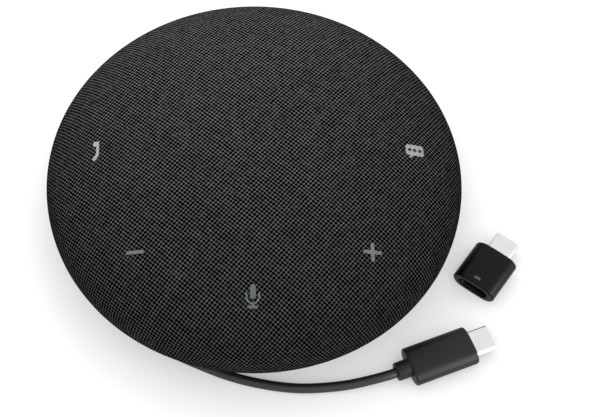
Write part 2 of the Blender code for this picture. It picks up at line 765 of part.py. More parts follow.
def microphones():
    limit = dome_solid("boot_limit", FLANGE_OUTER)
    low = BOARD_TOP + GAP
    for side, azimuth in MICS.items():
        place = facing(azimuth, KEY_CIRCLE, low + MIC_THICK / 2)
        size = (MIC_SIDE, MIC_SIDE, MIC_THICK)
        keep("mic_module_" + side, box_mesh("mic_module", size, place), STEEL)
        at = around(KEY_CIRCLE, azimuth)
        mesh = cylinder_mesh("mic_boot", BOOT_RADIUS, low + MIC_THICK + GAP, DOME_REACH, at, BOOT_STEPS)
        boot = boolean(keep("mic_boot_" + side, mesh, BLACK_RUBBER), "INTERSECT", limit)
        mesh = cylinder_mesh("bore", MIC_PORT_RADIUS, BOARD_Z, DOME_REACH, at, HOLE_STEPS)
        boolean(boot, "DIFFERENCE", cutter("bore", mesh))


# Loudspeaker


def speaker_chamber():
    inside = CHAMBER_RADIUS - CHAMBER_WALL
    floor = CHAMBER_Z + CHAMBER_WALL
    rim = CHAMBER_TOP - CHAMBER_RIM_THICK
    flange = FLOOR_TOP + GAP
    profile = [(0.0, floor), (inside, floor), (inside, rim), (CHAMBER_MOUTH_RADIUS, rim)]
    profile += [(CHAMBER_MOUTH_RADIUS, CHAMBER_TOP), (CHAMBER_RADIUS, CHAMBER_TOP)]
    flange_top = flange + CHAMBER_FLANGE_THICK
    profile += [(CHAMBER_RADIUS, flange_top), (CHAMBER_FLANGE_RADIUS, flange_top)]
    profile += [(CHAMBER_FLANGE_RADIUS, flange), (CHAMBER_RADIUS, flange), (CHAMBER_RADIUS, CHAMBER_Z)]
    profile += [(0.0, CHAMBER_Z)]
    turned("speaker_chamber", profile, BLACK_ABS)


def driver_gasket():
    low = CHAMBER_TOP + GAP
    turned("driver_gasket", ring(CHAMBER_MOUTH_RADIUS, CHAMBER_RADIUS, low, low + GASKET_THICK), BLACK_RUBBER)


def driver_basket():
    foot_top = BASKET_Z + BASKET_FOOT_THICK
    profile = [(CHAMBER_RADIUS, BASKET_FLANGE_TOP)]
    profile += [(CHAMBER_RADIUS, BASKET_FLANGE_Z), (BASKET_MOUTH_RADIUS, BASKET_FLANGE_Z)]
    profile += [(BASKET_FOOT_RADIUS, BASKET_Z), (BASKET_FOOT_BORE, BASKET_Z)]
    profile += [(BASKET_FOOT_BORE, foot_top), (BASKET_FOOT_RADIUS - BASKET_WALL, foot_top)]
    profile += [(BASKET_MOUTH_RADIUS - BASKET_WALL, BASKET_FLANGE_Z)]
    profile += [(BASKET_MOUTH_RADIUS - BASKET_WALL, BASKET_FLANGE_TOP)]
    basket = turned("driver_basket", profile, STEEL)
    windows = cutter_group("basket_windows")
    height = BASKET_DEPTH - BASKET_FOOT_THICK - 2 * BASKET_WALL
    middle = (foot_top + BASKET_FLANGE_Z) / 2
    for i in range(BASKET_WINDOWS):
        size = (BASKET_WINDOW_WIDTH, 2 * BASKET_FOOT_BORE, height)
        frame = facing(360.0 * i / BASKET_WINDOWS, BASKET_MOUTH_RADIUS + BASKET_WALL, middle)
        cutter("window", box_mesh("window", size, frame), windows)
    boolean(basket, "DIFFERENCE", windows)


def driver_motor():
    pole_top = TOP_PLATE_Z + TOP_PLATE_THICK
    turned("driver_top_plate", ring(COIL_OUTER + COIL_AIR, MAGNET_RADIUS, TOP_PLATE_Z, pole_top), STEEL)
    turned("driver_magnet", ring(MAGNET_BORE, MAGNET_RADIUS, MAGNET_Z, MAGNET_Z + MAGNET_THICK), FERRITE)
    plate_top = YOKE_Z + YOKE_THICK
    profile = [(0.0, pole_top), (POLE_RADIUS, pole_top), (POLE_RADIUS, plate_top)]
    profile += [(MAGNET_RADIUS, plate_top), (MAGNET_RADIUS, YOKE_Z), (0.0, YOKE_Z)]
    turned("driver_yoke", profile, STEEL)


def cone_slope():
    """Rise of the cone's wall for each metre outwards."""
    return CONE_DEPTH / (CONE_RIM_RADIUS - CONE_RIM_WIDTH - COIL_OUTER - GAP)


def driver_cone():
    rim_inner = CONE_RIM_RADIUS - CONE_RIM_WIDTH
    neck = COIL_OUTER + GAP
    profile = [(neck, CONE_NECK_Z), (rim_inner, CONE_TOP - GAP), (CONE_RIM_RADIUS, CONE_TOP - GAP)]
    profile += [(CONE_RIM_RADIUS, CONE_TOP - GAP - CONE_WALL), (rim_inner, CONE_TOP - GAP - CONE_WALL)]
    profile += [(neck, CONE_NECK_Z - CONE_WALL)]
    cone = turned("driver_cone", profile, PAPER)
    coil_low = TOP_PLATE_Z + TOP_PLATE_THICK - COIL_REACH
    coil_high = CONE_NECK_Z + GAP
    coil = turned("voice_coil", ring(COIL_RADIUS, COIL_OUTER, coil_low, coil_high), COPPER)
    base = CONE_NECK_Z + (CAP_BASE_RADIUS - COIL_OUTER) * cone_slope() + GAP
    cap = turned("dust_cap", cap_line(base, CAP_WALL) + cap_line(base, 0.0)[::-1], PAPER)
    axis_empty("driver_axis", Vector((0.0, 0.0, CONE_NECK_Z)), cone, coil, cap)


def cap_line(base, above):
    """A low dome from the middle to its edge, this far above the cap's lower face."""
    points = []
    for i in range(CAP_STEPS + 1):
        share = i / CAP_STEPS
        points.append((CAP_BASE_RADIUS * share, base + above + CAP_RISE * (1.0 - share * share)))
    return points


def driver_surround():
    foot_z = BASKET_FLANGE_TOP + GAP
    outer = BASKET_MOUTH_RADIUS + SURROUND_FOOT
    roll_outer = BASKET_MOUTH_RADIUS
    roll_inner = CONE_RIM_RADIUS
    inner = CONE_RIM_RADIUS - CONE_RIM_WIDTH
    middle = (roll_outer + roll_inner) / 2
    half = (roll_outer - roll_inner) / 2
    under = [(outer, foot_z)]
    over = [(outer, foot_z + SURROUND_WALL)]
    for i in range(ROLL_STEPS + 1):
        angle = math.pi * i / ROLL_STEPS
        reach = half - SURROUND_WALL / 2
        under.append((middle + reach * math.cos(angle), foot_z + reach * math.sin(angle)))
        reach = half + SURROUND_WALL / 2
        rise = SURROUND_WALL * (1.0 - math.sin(angle) / 2)
        over.append((middle + reach * math.cos(angle), foot_z + rise + half * math.sin(angle)))
    under.append((inner, foot_z))
    over.append((inner, foot_z + SURROUND_WALL))
    turned("driver_surround", over[::-1] + under, BLACK_RUBBER)


def driver_spider():
    inner = COIL_OUTER + GAP
    outer = BASKET_FOOT_RADIUS - BASKET_WALL - GAP
    base = BASKET_Z + BASKET_FOOT_THICK + GAP
    count = 4 * SPIDER_WAVES
    low = []
    for i in range(count + 1):
        share = i / count
        wave = SPIDER_WAVE * (1.0 - math.cos(math.tau * SPIDER_WAVES * share)) / 2
        low.append((outer + (inner - outer) * share, base + wave))
    high = [(radius, z + SPIDER_WALL) for radius, z in low]
    turned("driver_spider", high[::-1] + low, PAPER)


# Cable: grommet, inner lead, winding and free lead


def tube(name, points, diameter, resolution, finish):
    curve = bpy.data.curves.new(name, "CURVE")
    curve.dimensions = "3D"
    curve.bevel_depth = diameter / 2
    curve.bevel_resolution = resolution
    curve.use_fill_caps = True
    spline = curve.splines.new("POLY")
    spline.points.add(len(points) - 1)
    for point, place in zip(spline.points, points):
        point.co = (*place, 1.0)
    return keep(name, curve, finish)


def cable_grommet():
    low, high = GROMMET_NOSE_REACH - GROMMET_LENGTH, GROMMET_NOSE_REACH
    name = "cable_grommet"
    mesh = cylinder_mesh(name, GROMMET_RADIUS, low, high, Vector(), BOOT_STEPS, GROMMET_NOSE_RADIUS)
    grommet = keep(name, mesh, BLACK_RUBBER)
    grommet.matrix_world = exit_frame() @ Matrix.Rotation(math.pi / 2, 4, "Y")


def inner_lead():
    frame = exit_frame()
    back = GROMMET_LENGTH - GROMMET_NOSE_REACH + GAP
    straight = INNER_LEAD_DIAMETER
    points = [frame @ Vector((-back, 0.0, 0.0)), frame @ Vector((-back - straight, 0.0, 0.0))]
    for i in range(1, BEND_STEPS + 1):
        angle = math.pi / 2 * i / BEND_STEPS
        out = back + straight + INNER_LEAD_BEND * math.sin(angle)
        points.append(frame @ Vector((-out, 0.0, INNER_LEAD_BEND * (1.0 - math.cos(angle)))))
    header_low = BOARD_Z - GAP - HEADER_HEIGHT
    points.append(Vector((points[-1].x, points[-1].y, header_low - GAP)))
    tube("inner_lead", points, INNER_LEAD_DIAMETER, 2, JACKET)
    size = (HEADER_SIDE, HEADER_SIDE, HEADER_HEIGHT)
    place = Matrix.Translation((points[-1].x, points[-1].y, header_low + HEADER_HEIGHT / 2))
    keep("cable_header", box_mesh("cable_header", size, place), IVORY_NYLON)


def winding_path(steps_per_loop):
    """Straight out of the grommet, round the upper layer, down, and outwards in the lower one."""
    frame = exit_frame()
    nose = GROMMET_NOSE_REACH + GAP
    first = frame @ Vector((nose, 0.0, 0.0))
    leave = frame @ Vector((nose + CABLE_DIAMETER, 0.0, 0.0))
    start_radius = leave.to_2d().length
    start_angle = math.atan2(leave.y, leave.x)
    way = frame.to_3x3() @ Vector((1.0, 0.0, 0.0))
    radial = leave.to_2d() / start_radius
    outward = way.to_2d().dot(radial)
    slope = outward / math.sqrt(1.0 - outward * outward)
    offset = start_radius - WINDING_RADIUS
    push = start_radius * slope + offset / WINDING_SETTLE
    points = [first, leave]
    count = math.ceil(WINDING_ANGLE / math.tau * steps_per_loop)
    for i in range(1, count + 1):
        turned_by = WINDING_ANGLE * i / count
        radius = WINDING_RADIUS + (offset + push * turned_by) * math.exp(-turned_by / WINDING_SETTLE)
        for begin, length in COLUMN_CHANGES:
            radius += COLUMN_STEP * smooth_step((turned_by - begin) / length)
        z = UPPER_LAYER + (GROMMET_Z - UPPER_LAYER) * math.exp(-((turned_by / WINDING_RISE) ** 2))
        z -= LAYER_STEP * smooth_step((turned_by - LAYER_CHANGE[0]) / LAYER_CHANGE[1])
        angle = start_angle + turned_by
        points.append(Vector((radius * math.cos(angle), radius * math.sin(angle), z)))
    return points


def least_gap(path, diameter):
    """The least gap between stretches of a tube that aren't neighbours along it."""
    line = np.array([tuple(point) for point in path])
    along = np.concatenate([[0.0], np.cumsum(np.linalg.norm(np.diff(line, axis=0), axis=1))])
    apart = np.linalg.norm(line[:, None] - line[None], axis=2)
    far = np.abs(along[:, None] - along[None]) > 5 * diameter
    return apart[far].min() - diameter


def length_of(path):
    return sum((b - a).length for a, b in zip(path, path[1:]))


def smooth_route(points, spacing):
    """Points at even steps along a Catmull-Rom curve through the given ones."""
    ends = [points[0] * 2 - points[1]] + points + [points[-1] * 2 - points[-2]]
    fine = []
    for a, b, c, d in zip(ends, ends[1:], ends[2:], ends[3:]):
        for t in np.arange(0.0, 1.0, 0.05):
            bend = (2 * a - 5 * b + 4 * c - d) * t**2 + (3 * b - a - 3 * c + d) * t**3
            fine.append(b + ((c - a) * t + bend) / 2)
    fine.append(points[-1])
    along = [0.0]
    for a, b in zip(fine, fine[1:]):
        along.append(along[-1] + (b - a).length)
    count = max(2, round(along[-1] / spacing))
    places = np.linspace(0.0, along[-1], count + 1)
    axes = [np.interp(places, along, [point[k] for point in fine]) for k in range(3)]
    return [Vector(point) for point in zip(*axes)]


def cable():
    path = winding_path(POINTS_PER_LOOP)
    tube("cable_winding", path, CABLE_DIAMETER, 1, JACKET)
    end = path[-1]
    way = (path[-1] - path[-2]).normalized()
    start = end + way * GAP
    plug = plug_frame(PLUG_REAR, PLUG_HEADING, PLUG_THICK)
    stop = plug @ Vector((0.0, 0.0, -COLLAR_LENGTH - GAP))
    before = plug @ Vector((0.0, 0.0, -COLLAR_LENGTH - GAP - CABLE_DIAMETER))
    lie = CABLE_DIAMETER / 2
    rest = [around(RIM_RADIUS + reach, azimuth, lie + height) for azimuth, reach, height in LEAD_ROUTE]
    route = [start, start + way * CABLE_DIAMETER] + rest + [before, stop]
    lead = smooth_route(route, LEAD_SPACING)
    tube("cable_lead", lead, CABLE_DIAMETER, 2, JACKET)
    print("winding gap mm", round(least_gap(winding_path(4 * POINTS_PER_LOOP), CABLE_DIAMETER) * 1000, 2))
    print("cable length mm", round((length_of(path) + length_of(lead)) * 1000, 1))


# Plugs and adapter, drawn as outlines across their axis


def rounded_outline(width, height, radius, steps=4):
    points = []
    corners = ((1, 1, 0), (-1, 1, 90), (-1, -1, 180), (1, -1, 270))
    for x_side, y_side, begin in corners:
        for i in range(steps + 1):
            angle = math.radians(begin + 90.0 * i / steps)
            x = x_side * (width / 2 - radius) + radius * math.cos(angle)
            y = y_side * (height / 2 - radius) + radius * math.sin(angle)
            points.append((x, y))
    return points


def extruded(name, outlines, low, high, frame):
    """A flat outline, with its holes, drawn out along the frame's Z from low to high, as a mesh in place."""
    curve = bpy.data.curves.new(name, "CURVE")
    curve.dimensions = "2D"
    curve.fill_mode = "BOTH"
    curve.extrude = (high - low) / 2
    for outline in outlines:
        spline = curve.splines.new("POLY")
        spline.points.add(len(outline) - 1)
        for point, (x, y) in zip(spline.points, outline):
            point.co = (x, y, 0.0, 1.0)
        spline.use_cyclic_u = True
    obj = bpy.data.objects.new(name + "_outline", curve)
    parts.objects.link(obj)
    mesh = evaluated_mesh(obj)
    bpy.data.objects.remove(obj)
    mesh.transform(frame @ Matrix.Translation((0.0, 0.0, (low + high) / 2)))
    return mesh


def plug_frame(rear, heading, thick):
    """Z runs along the plug from its rear end, Y up and X to the side."""
    way = Vector((math.cos(heading), math.sin(heading), 0.0))
    up = Vector((0.0, 0.0, 1.0))
    frame = Matrix((up.cross(way), up, way)).transposed().to_4x4()
    azimuth, reach = rear
    frame.translation = around(RIM_RADIUS + reach, azimuth, thick / 2)
    return frame


def shell_outline(width, height):
    """Round ends with a short flat left between the two corners of each, so that no points fall together."""
    return rounded_outline(width, height, height / 2 - GAP / 4)


def plug_tip(prefix, frame, face):
    """The metal shell of a plug and the contact carrier in it, seated in a pocket behind this face."""
    back = face - SHELL_SEAT
    tip = face + SHELL_LENGTH
    inner_width = SHELL_WIDTH - 2 * SHELL_SHEET
    inner_thick = SHELL_THICK - 2 * SHELL_SHEET
    outlines = [shell_outline(SHELL_WIDTH, SHELL_THICK), shell_outline(inner_width, inner_thick)]
    keep(prefix + "_shell", extruded(prefix + "_shell", outlines, back, tip, frame), STEEL)
    carrier = shell_outline(inner_width - 2 * GAP, inner_thick - 2 * GAP)
    slot = shell_outline(TONGUE_WIDTH, TONGUE_THICK)
    mesh = extruded(prefix + "_insert", [carrier], back, tip - 2 * GAP, frame)
    insert = keep(prefix + "_insert", mesh, CHIP_RESIN)
    mesh = extruded("slot", [slot], tip - TONGUE_LENGTH - GAP, tip + GAP, frame)
    boolean(insert, "DIFFERENCE", cutter("slot", mesh))


def shell_pocket(frame, face):
    outline = shell_outline(SHELL_WIDTH + 2 * GAP, SHELL_THICK + 2 * GAP)
    return cutter("pocket", extruded("pocket", [outline], face - SHELL_SEAT - GAP, face + SHELL_SEAT, frame))


def cable_plug():
    frame = plug_frame(PLUG_REAR, PLUG_HEADING, PLUG_THICK)
    outline = rounded_outline(PLUG_WIDTH, PLUG_THICK, PLUG_CORNER)
    body = keep("plug_overmould", extruded("plug_overmould", [outline], 0.0, PLUG_LENGTH, frame), BLACK_ABS)
    bevel(body, EDGE_ROUND)
    mesh = cylinder_mesh("collar", COLLAR_RADIUS, -COLLAR_LENGTH, COLLAR_LENGTH, Vector(), COLLAR_STEPS)
    collar = cutter("collar", mesh)
    collar.matrix_world = frame
    boolean(body, "UNION", collar)
    boolean(body, "DIFFERENCE", shell_pocket(frame, PLUG_LENGTH))
    plug_tip("plug", frame, PLUG_LENGTH)


def adapter():
    frame = plug_frame(ADAPTER_NEAR, ADAPTER_HEADING, ADAPTER_THICK)
    outline = rounded_outline(ADAPTER_WIDTH, ADAPTER_THICK, ADAPTER_CORNER)
    body = keep("adapter_body", extruded("adapter_body", [outline], 0.0, ADAPTER_LENGTH, frame), BLACK_ABS)
    bevel(body, EDGE_ROUND)
    boolean(body, "DIFFERENCE", shell_pocket(frame, ADAPTER_LENGTH))
    plug_tip("adapter_plug", frame, ADAPTER_LENGTH)
    inner_width = SHELL_WIDTH + 2 * GAP
    inner_thick = SHELL_THICK + 2 * GAP
    liner_width = inner_width + 2 * SOCKET_SHEET
    liner_thick = inner_thick + 2 * SOCKET_SHEET
    mouth = shell_outline(liner_width + 2 * GAP, liner_thick + 2 * GAP)
    boolean(body, "DIFFERENCE", cutter("mouth", extruded("mouth", [mouth], -GAP, SOCKET_DEPTH + GAP, frame)))
    outlines = [shell_outline(liner_width, liner_thick), shell_outline(inner_width, inner_thick)]
    keep("adapter_socket", extruded("adapter_socket", outlines, GAP, SOCKET_DEPTH, frame), STEEL)
    tongue = shell_outline(TONGUE_WIDTH - 2 * GAP, TONGUE_THICK)
    low = SOCKET_DEPTH - TONGUE_LENGTH
    blade = keep("adapter_tongue", extruded("adapter_tongue", [tongue], low, SOCKET_DEPTH, frame), CHIP_RESIN)
    block = shell_outline(inner_width - 2 * GAP, inner_thick - 2 * GAP)
    mesh = extruded("block", [block], SOCKET_DEPTH - TONGUE_ROOT, SOCKET_DEPTH + GAP / 2, frame)
    boolean(blade, "UNION", cutter("block", mesh))
    names = ("adapter_body", "adapter_plug_shell", "adapter_plug_insert", "adapter_socket", "adapter_tongue")
    axis_empty("adapter_axis", frame.translation, *[bpy.data.objects[name] for name in names])


fabric_cover()
grille_dome()
lower_housing()
cable_hub()
base_plate()
base_pad()
all_screws()
keys()
main_board()
switches()
audio_processor()
microphones()
speaker_chamber()
driver_gasket()
driver_basket()
driver_motor()
driver_cone()
driver_surround()
driver_spider()
cable_grommet()
inner_lead()
cable()
cable_plug()
adapter()
shade_pieces()
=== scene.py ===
import math

import bmesh
import bpy
import numpy as np
from mathutils import Matrix, Vector


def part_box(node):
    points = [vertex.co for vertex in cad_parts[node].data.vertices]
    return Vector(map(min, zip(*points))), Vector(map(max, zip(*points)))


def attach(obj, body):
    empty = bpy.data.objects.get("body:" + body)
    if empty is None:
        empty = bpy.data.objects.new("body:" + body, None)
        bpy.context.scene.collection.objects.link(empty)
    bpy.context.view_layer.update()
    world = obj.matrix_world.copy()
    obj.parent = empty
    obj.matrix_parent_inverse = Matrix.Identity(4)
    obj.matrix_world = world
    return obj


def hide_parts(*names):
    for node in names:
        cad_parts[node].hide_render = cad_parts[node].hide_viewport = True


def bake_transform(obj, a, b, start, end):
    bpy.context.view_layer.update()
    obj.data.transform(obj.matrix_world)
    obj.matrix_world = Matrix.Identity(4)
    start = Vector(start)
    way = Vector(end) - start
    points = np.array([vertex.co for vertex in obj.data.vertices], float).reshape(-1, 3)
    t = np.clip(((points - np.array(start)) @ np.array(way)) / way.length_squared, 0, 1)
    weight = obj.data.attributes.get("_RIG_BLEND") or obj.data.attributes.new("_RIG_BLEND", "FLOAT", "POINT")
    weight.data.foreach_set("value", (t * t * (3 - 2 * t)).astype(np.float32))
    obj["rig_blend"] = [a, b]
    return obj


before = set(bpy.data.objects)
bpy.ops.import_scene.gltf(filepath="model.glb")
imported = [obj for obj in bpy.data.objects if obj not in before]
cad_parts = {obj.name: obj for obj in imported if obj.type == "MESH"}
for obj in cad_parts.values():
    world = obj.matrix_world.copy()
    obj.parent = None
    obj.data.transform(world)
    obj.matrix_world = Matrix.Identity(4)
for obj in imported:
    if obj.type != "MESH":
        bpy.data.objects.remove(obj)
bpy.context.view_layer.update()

scene = bpy.context.scene
scene.view_settings.view_transform = "Standard"
rimRadius = 0.0640  # the cable's route and the cloth are both set out from the rim
sharpAngle = 40.0  # degrees past which an edge shows as sharp
print("frame loaded:", len(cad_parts), "nodes")


# shapes and steps that several pieces share
def linked(name, data):
    piece = bpy.data.objects.new(name, data)
    scene.collection.objects.link(piece)
    return piece


def settle(piece, body, slot, *nodes):  # what it moves with, its finish, which is not used, and the nodes it stands for
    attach(piece, body)
    if nodes:
        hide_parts(*nodes)


def smoothStep(x):
    x = min(max(x, 0.0), 1.0)
    return x * x * (3.0 - 2.0 * x)


def around(radius, degrees, z=0.0):  # degrees from the front, turning towards +X
    turn = math.radians(degrees)
    return Vector((radius * math.sin(turn), -radius * math.cos(turn), z))


def facing(place, aim):
    return (Vector(aim) - Vector(place)).to_track_quat("-Z", "Y").to_euler()


def smoothShade(mesh, sharp=sharpAngle):
    mesh.shade_smooth()
    mesh.set_sharp_from_angle(angle=math.radians(sharp))


def addPiece(name, points, faces, material, sharp=sharpAngle):
    mesh = bpy.data.meshes.new(name)
    mesh.from_pydata([tuple(p) for p in points], [], faces)
    bm = bmesh.new()
    bm.from_mesh(mesh)
    bmesh.ops.recalc_face_normals(bm, faces=bm.faces)
    bm.to_mesh(mesh)
    bm.free()
    smoothShade(mesh, sharp)
    mesh.materials.append(material)
    return linked(name, mesh)


def loft(name, rings, material, wrap=False, sharp=sharpAngle):  # closed at both ends, or onto itself
    count = len(rings[0])
    points = [p for ring in rings for p in ring]
    pairs = list(zip(range(len(rings)), range(1, len(rings))))
    if wrap:
        pairs.append((len(rings) - 1, 0))
    faces = []
    for a, b in pairs:
        for i in range(count):
            j = (i + 1) % count
            faces.append((a * count + i, a * count + j, b * count + j, b * count + i))
    if not wrap:
        faces.append(tuple(range(count)))
        faces.append(tuple(len(points) - count + i for i in range(count)))
    return addPiece(name, points, faces, material, sharp)


def turned(name, profile, steps, material):  # a closed ring, or a disc where the profile meets the axis
    points, rows = [], []
    for radius, z in profile:
        if radius < 1e-7:
            rows.append([len(points)])
            points.append(Vector((0.0, 0.0, z)))
            continue
        rows.append([len(points) + i for i in range(steps)])
        points += [around(radius, 360.0 * i / steps, z) for i in range(steps)]
    pairs = list(zip(rows, rows[1:]))
    if len(rows[0]) > 1:
        pairs.append((rows[-1], rows[0]))
    faces = []
    for a, b in pairs:
        for i in range(steps):
            j = (i + 1) % steps
            corners = [a[i % len(a)], a[j % len(a)], b[j % len(b)], b[i % len(b)]]
            faces.append(tuple(dict.fromkeys(corners)))
    return addPiece(name, points, [f for f in faces if len(f) > 2], material)


# crown: share of the thickness lost at the sides
def outlineRing(place, width, height, corner, z, crown=0.0, steps=8):
    corner = min(corner, height / 2 - 1e-5, width / 2 - 1e-5)
    points = []
    for k, (sx, sy) in enumerate(((1, 1), (-1, 1), (-1, -1), (1, -1))):
        endX, endY = sx * (width / 2 - corner), sy * (height / 2 - corner)
        for i in range(steps + 1):
            turn = math.pi / 2 * (k + i / steps)
            points.append((endX + corner * math.cos(turn), endY + corner * math.sin(turn)))
        if sx == sy:  # the long run over the top, and the one underneath
            points += [(endX * (1.0 - 2.0 * i / steps), sy * height / 2) for i in range(1, steps)]
    return [place @ Vector((x, y * (1.0 - crown * (2.0 * x / width) ** 2), z)) for x, y in points]


def insetRings(place, width, height, rows):  # round-ended rings, each with its own inset and height
    rings = []
    for inset, z in rows:
        tall = height - 2 * inset
        rings.append(outlineRing(place, width - 2 * inset, tall, tall / 2, z))
    return rings


def merge(name, *pieces):  # several closed shells as one piece
    bm = bmesh.new()
    for piece in pieces:
        bm.from_mesh(piece.data)
    first = pieces[0]
    bm.to_mesh(first.data)
    bm.free()
    for piece in pieces[1:]:
        bpy.data.objects.remove(piece)
    first.name = name
    return first


# camera at the photograph's viewing angle
photoView = {
    "place": (0.0, -0.187534, 0.329880),
    "aim": (0.0, 0.0, -0.003892),
    "lens": 70.73,
    "sensor": 36.0,
    "shiftX": 0.0765,
    "clipStart": 0.01,
}


def setCamera(spec):
    data = bpy.data.cameras.new("photoCamera")
    data.sensor_fit = "HORIZONTAL"
    data.sensor_width = spec["sensor"]
    data.lens = spec["lens"]
    data.shift_x = spec["shiftX"]
    data.clip_start = spec["clipStart"]
    camera = linked("photoCamera", data)
    camera.location = spec["place"]
    camera.rotation_euler = facing(spec["place"], spec["aim"])
    scene.camera = camera


setCamera(photoView)
print("camera set")


# node helpers
floatSocket = "NodeSocketFloat"
intSocket = "NodeSocketInt"
vectorSocket = "NodeSocketVector"
geometrySocket = "NodeSocketGeometry"


def addNode(tree, kind, inputs=None, **settings):
    node = tree.nodes.new(kind)
    for key, value in settings.items():
        setattr(node, key, value)
    for key, value in (inputs or {}).items():
        if isinstance(value, bpy.types.NodeSocket):
            tree.links.new(value, node.inputs[key])
        else:
            node.inputs[key].default_value = value
    return node


def calc(tree, operation, *values):
    return addNode(tree, "ShaderNodeMath", dict(enumerate(values)), operation=operation).outputs[0]


def vary(tree, value, amount, share=0.5):  # a factor close to 1 that follows the value
    return calc(tree, "MULTIPLY_ADD", value, amount, 1.0 - amount * share)


def noise(tree, place, scale, detail, rough=0.5):
    inputs = {"Vector": place, "Scale": scale, "Detail": detail, "Roughness": rough}
    return addNode(tree, "ShaderNodeTexNoise", inputs).outputs[0]


def objectPlace(tree):
    return addNode(tree, "ShaderNodeTexCoord").outputs["Object"]


def newTree(name, kind, takes, gives):
    tree = bpy.data.node_groups.new(name, kind)
    for socketName, socketKind, value in takes:
        socket = tree.interface.new_socket(socketName, in_out="INPUT", socket_type=socketKind)
        if value is not None:
            socket.default_value = value
    for socketName, socketKind in gives:
        tree.interface.new_socket(socketName, in_out="OUTPUT", socket_type=socketKind)
    return tree, addNode(tree, "NodeGroupInput").outputs, addNode(tree, "NodeGroupOutput").inputs


def newGeometryTree(name, takes):
    takes = [("Geometry", geometrySocket)] + takes
    return newTree(name, "GeometryNodeTree", [(*row, None) for row in takes], [("Geometry", geometrySocket)])


def paintTree(tree, made, geometry, material):  # ends a geometry tree in one real mesh with its material
    real = addNode(tree, "GeometryNodeRealizeInstances", {"Geometry": geometry})
    painted = addNode(tree, "GeometryNodeSetMaterial", {"Geometry": real.outputs[0], "Material": material})
    tree.links.new(painted.outputs[0], made["Geometry"])


def treeInput(tree, name):
    return next(s.identifier for s in tree.interface.items_tree if s.name == name and s.in_out == "INPUT")


def grown(name, tree, values):  # the tree's result as a plain mesh
    holder = bpy.data.objects.new(name, bpy.data.meshes.new(name))
    modifier = holder.modifiers.new("grow", "NODES")
    modifier.node_group = tree
    for key, value in values.items():
        modifier[treeInput(tree, key)] = value
    scene.collection.objects.link(holder)
    graph = bpy.context.evaluated_depsgraph_get()
    mesh = bpy.data.meshes.new_from_object(holder.evaluated_get(graph))
    holder.modifiers.remove(modifier)
    bpy.data.objects.remove(holder)
    mesh.name = name
    return mesh


def newMaterial(name, constants):
    material = bpy.data.materials.new(name)
    material.use_nodes = True
    tree = material.node_tree
    shader = tree.nodes["Principled BSDF"]
    for key, value in constants.items():
        shader.inputs[key].default_value = value
    return material, tree, shader


def tinted(tree, colour, tone):  # colour times a tone that changes over the surface
    inputs = {0: 1.0, 6: (*colour, 1.0), 7: tone}
    return addNode(tree, "ShaderNodeMix", inputs, data_type="RGBA", blend_type="MULTIPLY").outputs[2]


def bumped(tree, height, distance):
    inputs = {"Height": height, "Distance": distance, "Strength": 1.0}
    return addNode(tree, "ShaderNodeBump", inputs).outputs[0]


# cloth: a diagonal mesh of round yarns with a hole in each square
weave = {
    "pitch": 0.00102,
    "turn": math.radians(-50.5),  # the yarns lie at 50.5 and -39.5 degrees
    "yarnWidth": 0.92,
    "crimp": 0.22,
    "hole": 0.41,
    "wander": (160.0, 0.32),  # scale, and share of a pitch by which the yarns stray
    "fibre": (9.0, 21.0, 0.035),  # twist across and along a yarn, and how much of it shows
    "holeSpread": 0.16,
    "holeEdge": (0.88, 1.20),  # shares of the hole's radius between which the yarns take over
    "slub": (0.16, 0.77),  # how far the yarns differ in tone, and the darkest of them
    "flecks": ((60.0, 3.0, 0.12), (750.0, 2.0, 0.5)),  # scale, detail and strength, slow and fine
    "sideShadePower": 0.6,  # painted shade: how quickly a yarn darkens down its sides
    "yarnColour": (0.166, 0.167, 0.174),
    # painted shade: near-black for the dark depth seen through each hole
    "holeShadeColour": (0.0006, 0.0006, 0.0007),
    "relief": 0.00022,
    "roughness": 0.85,
}


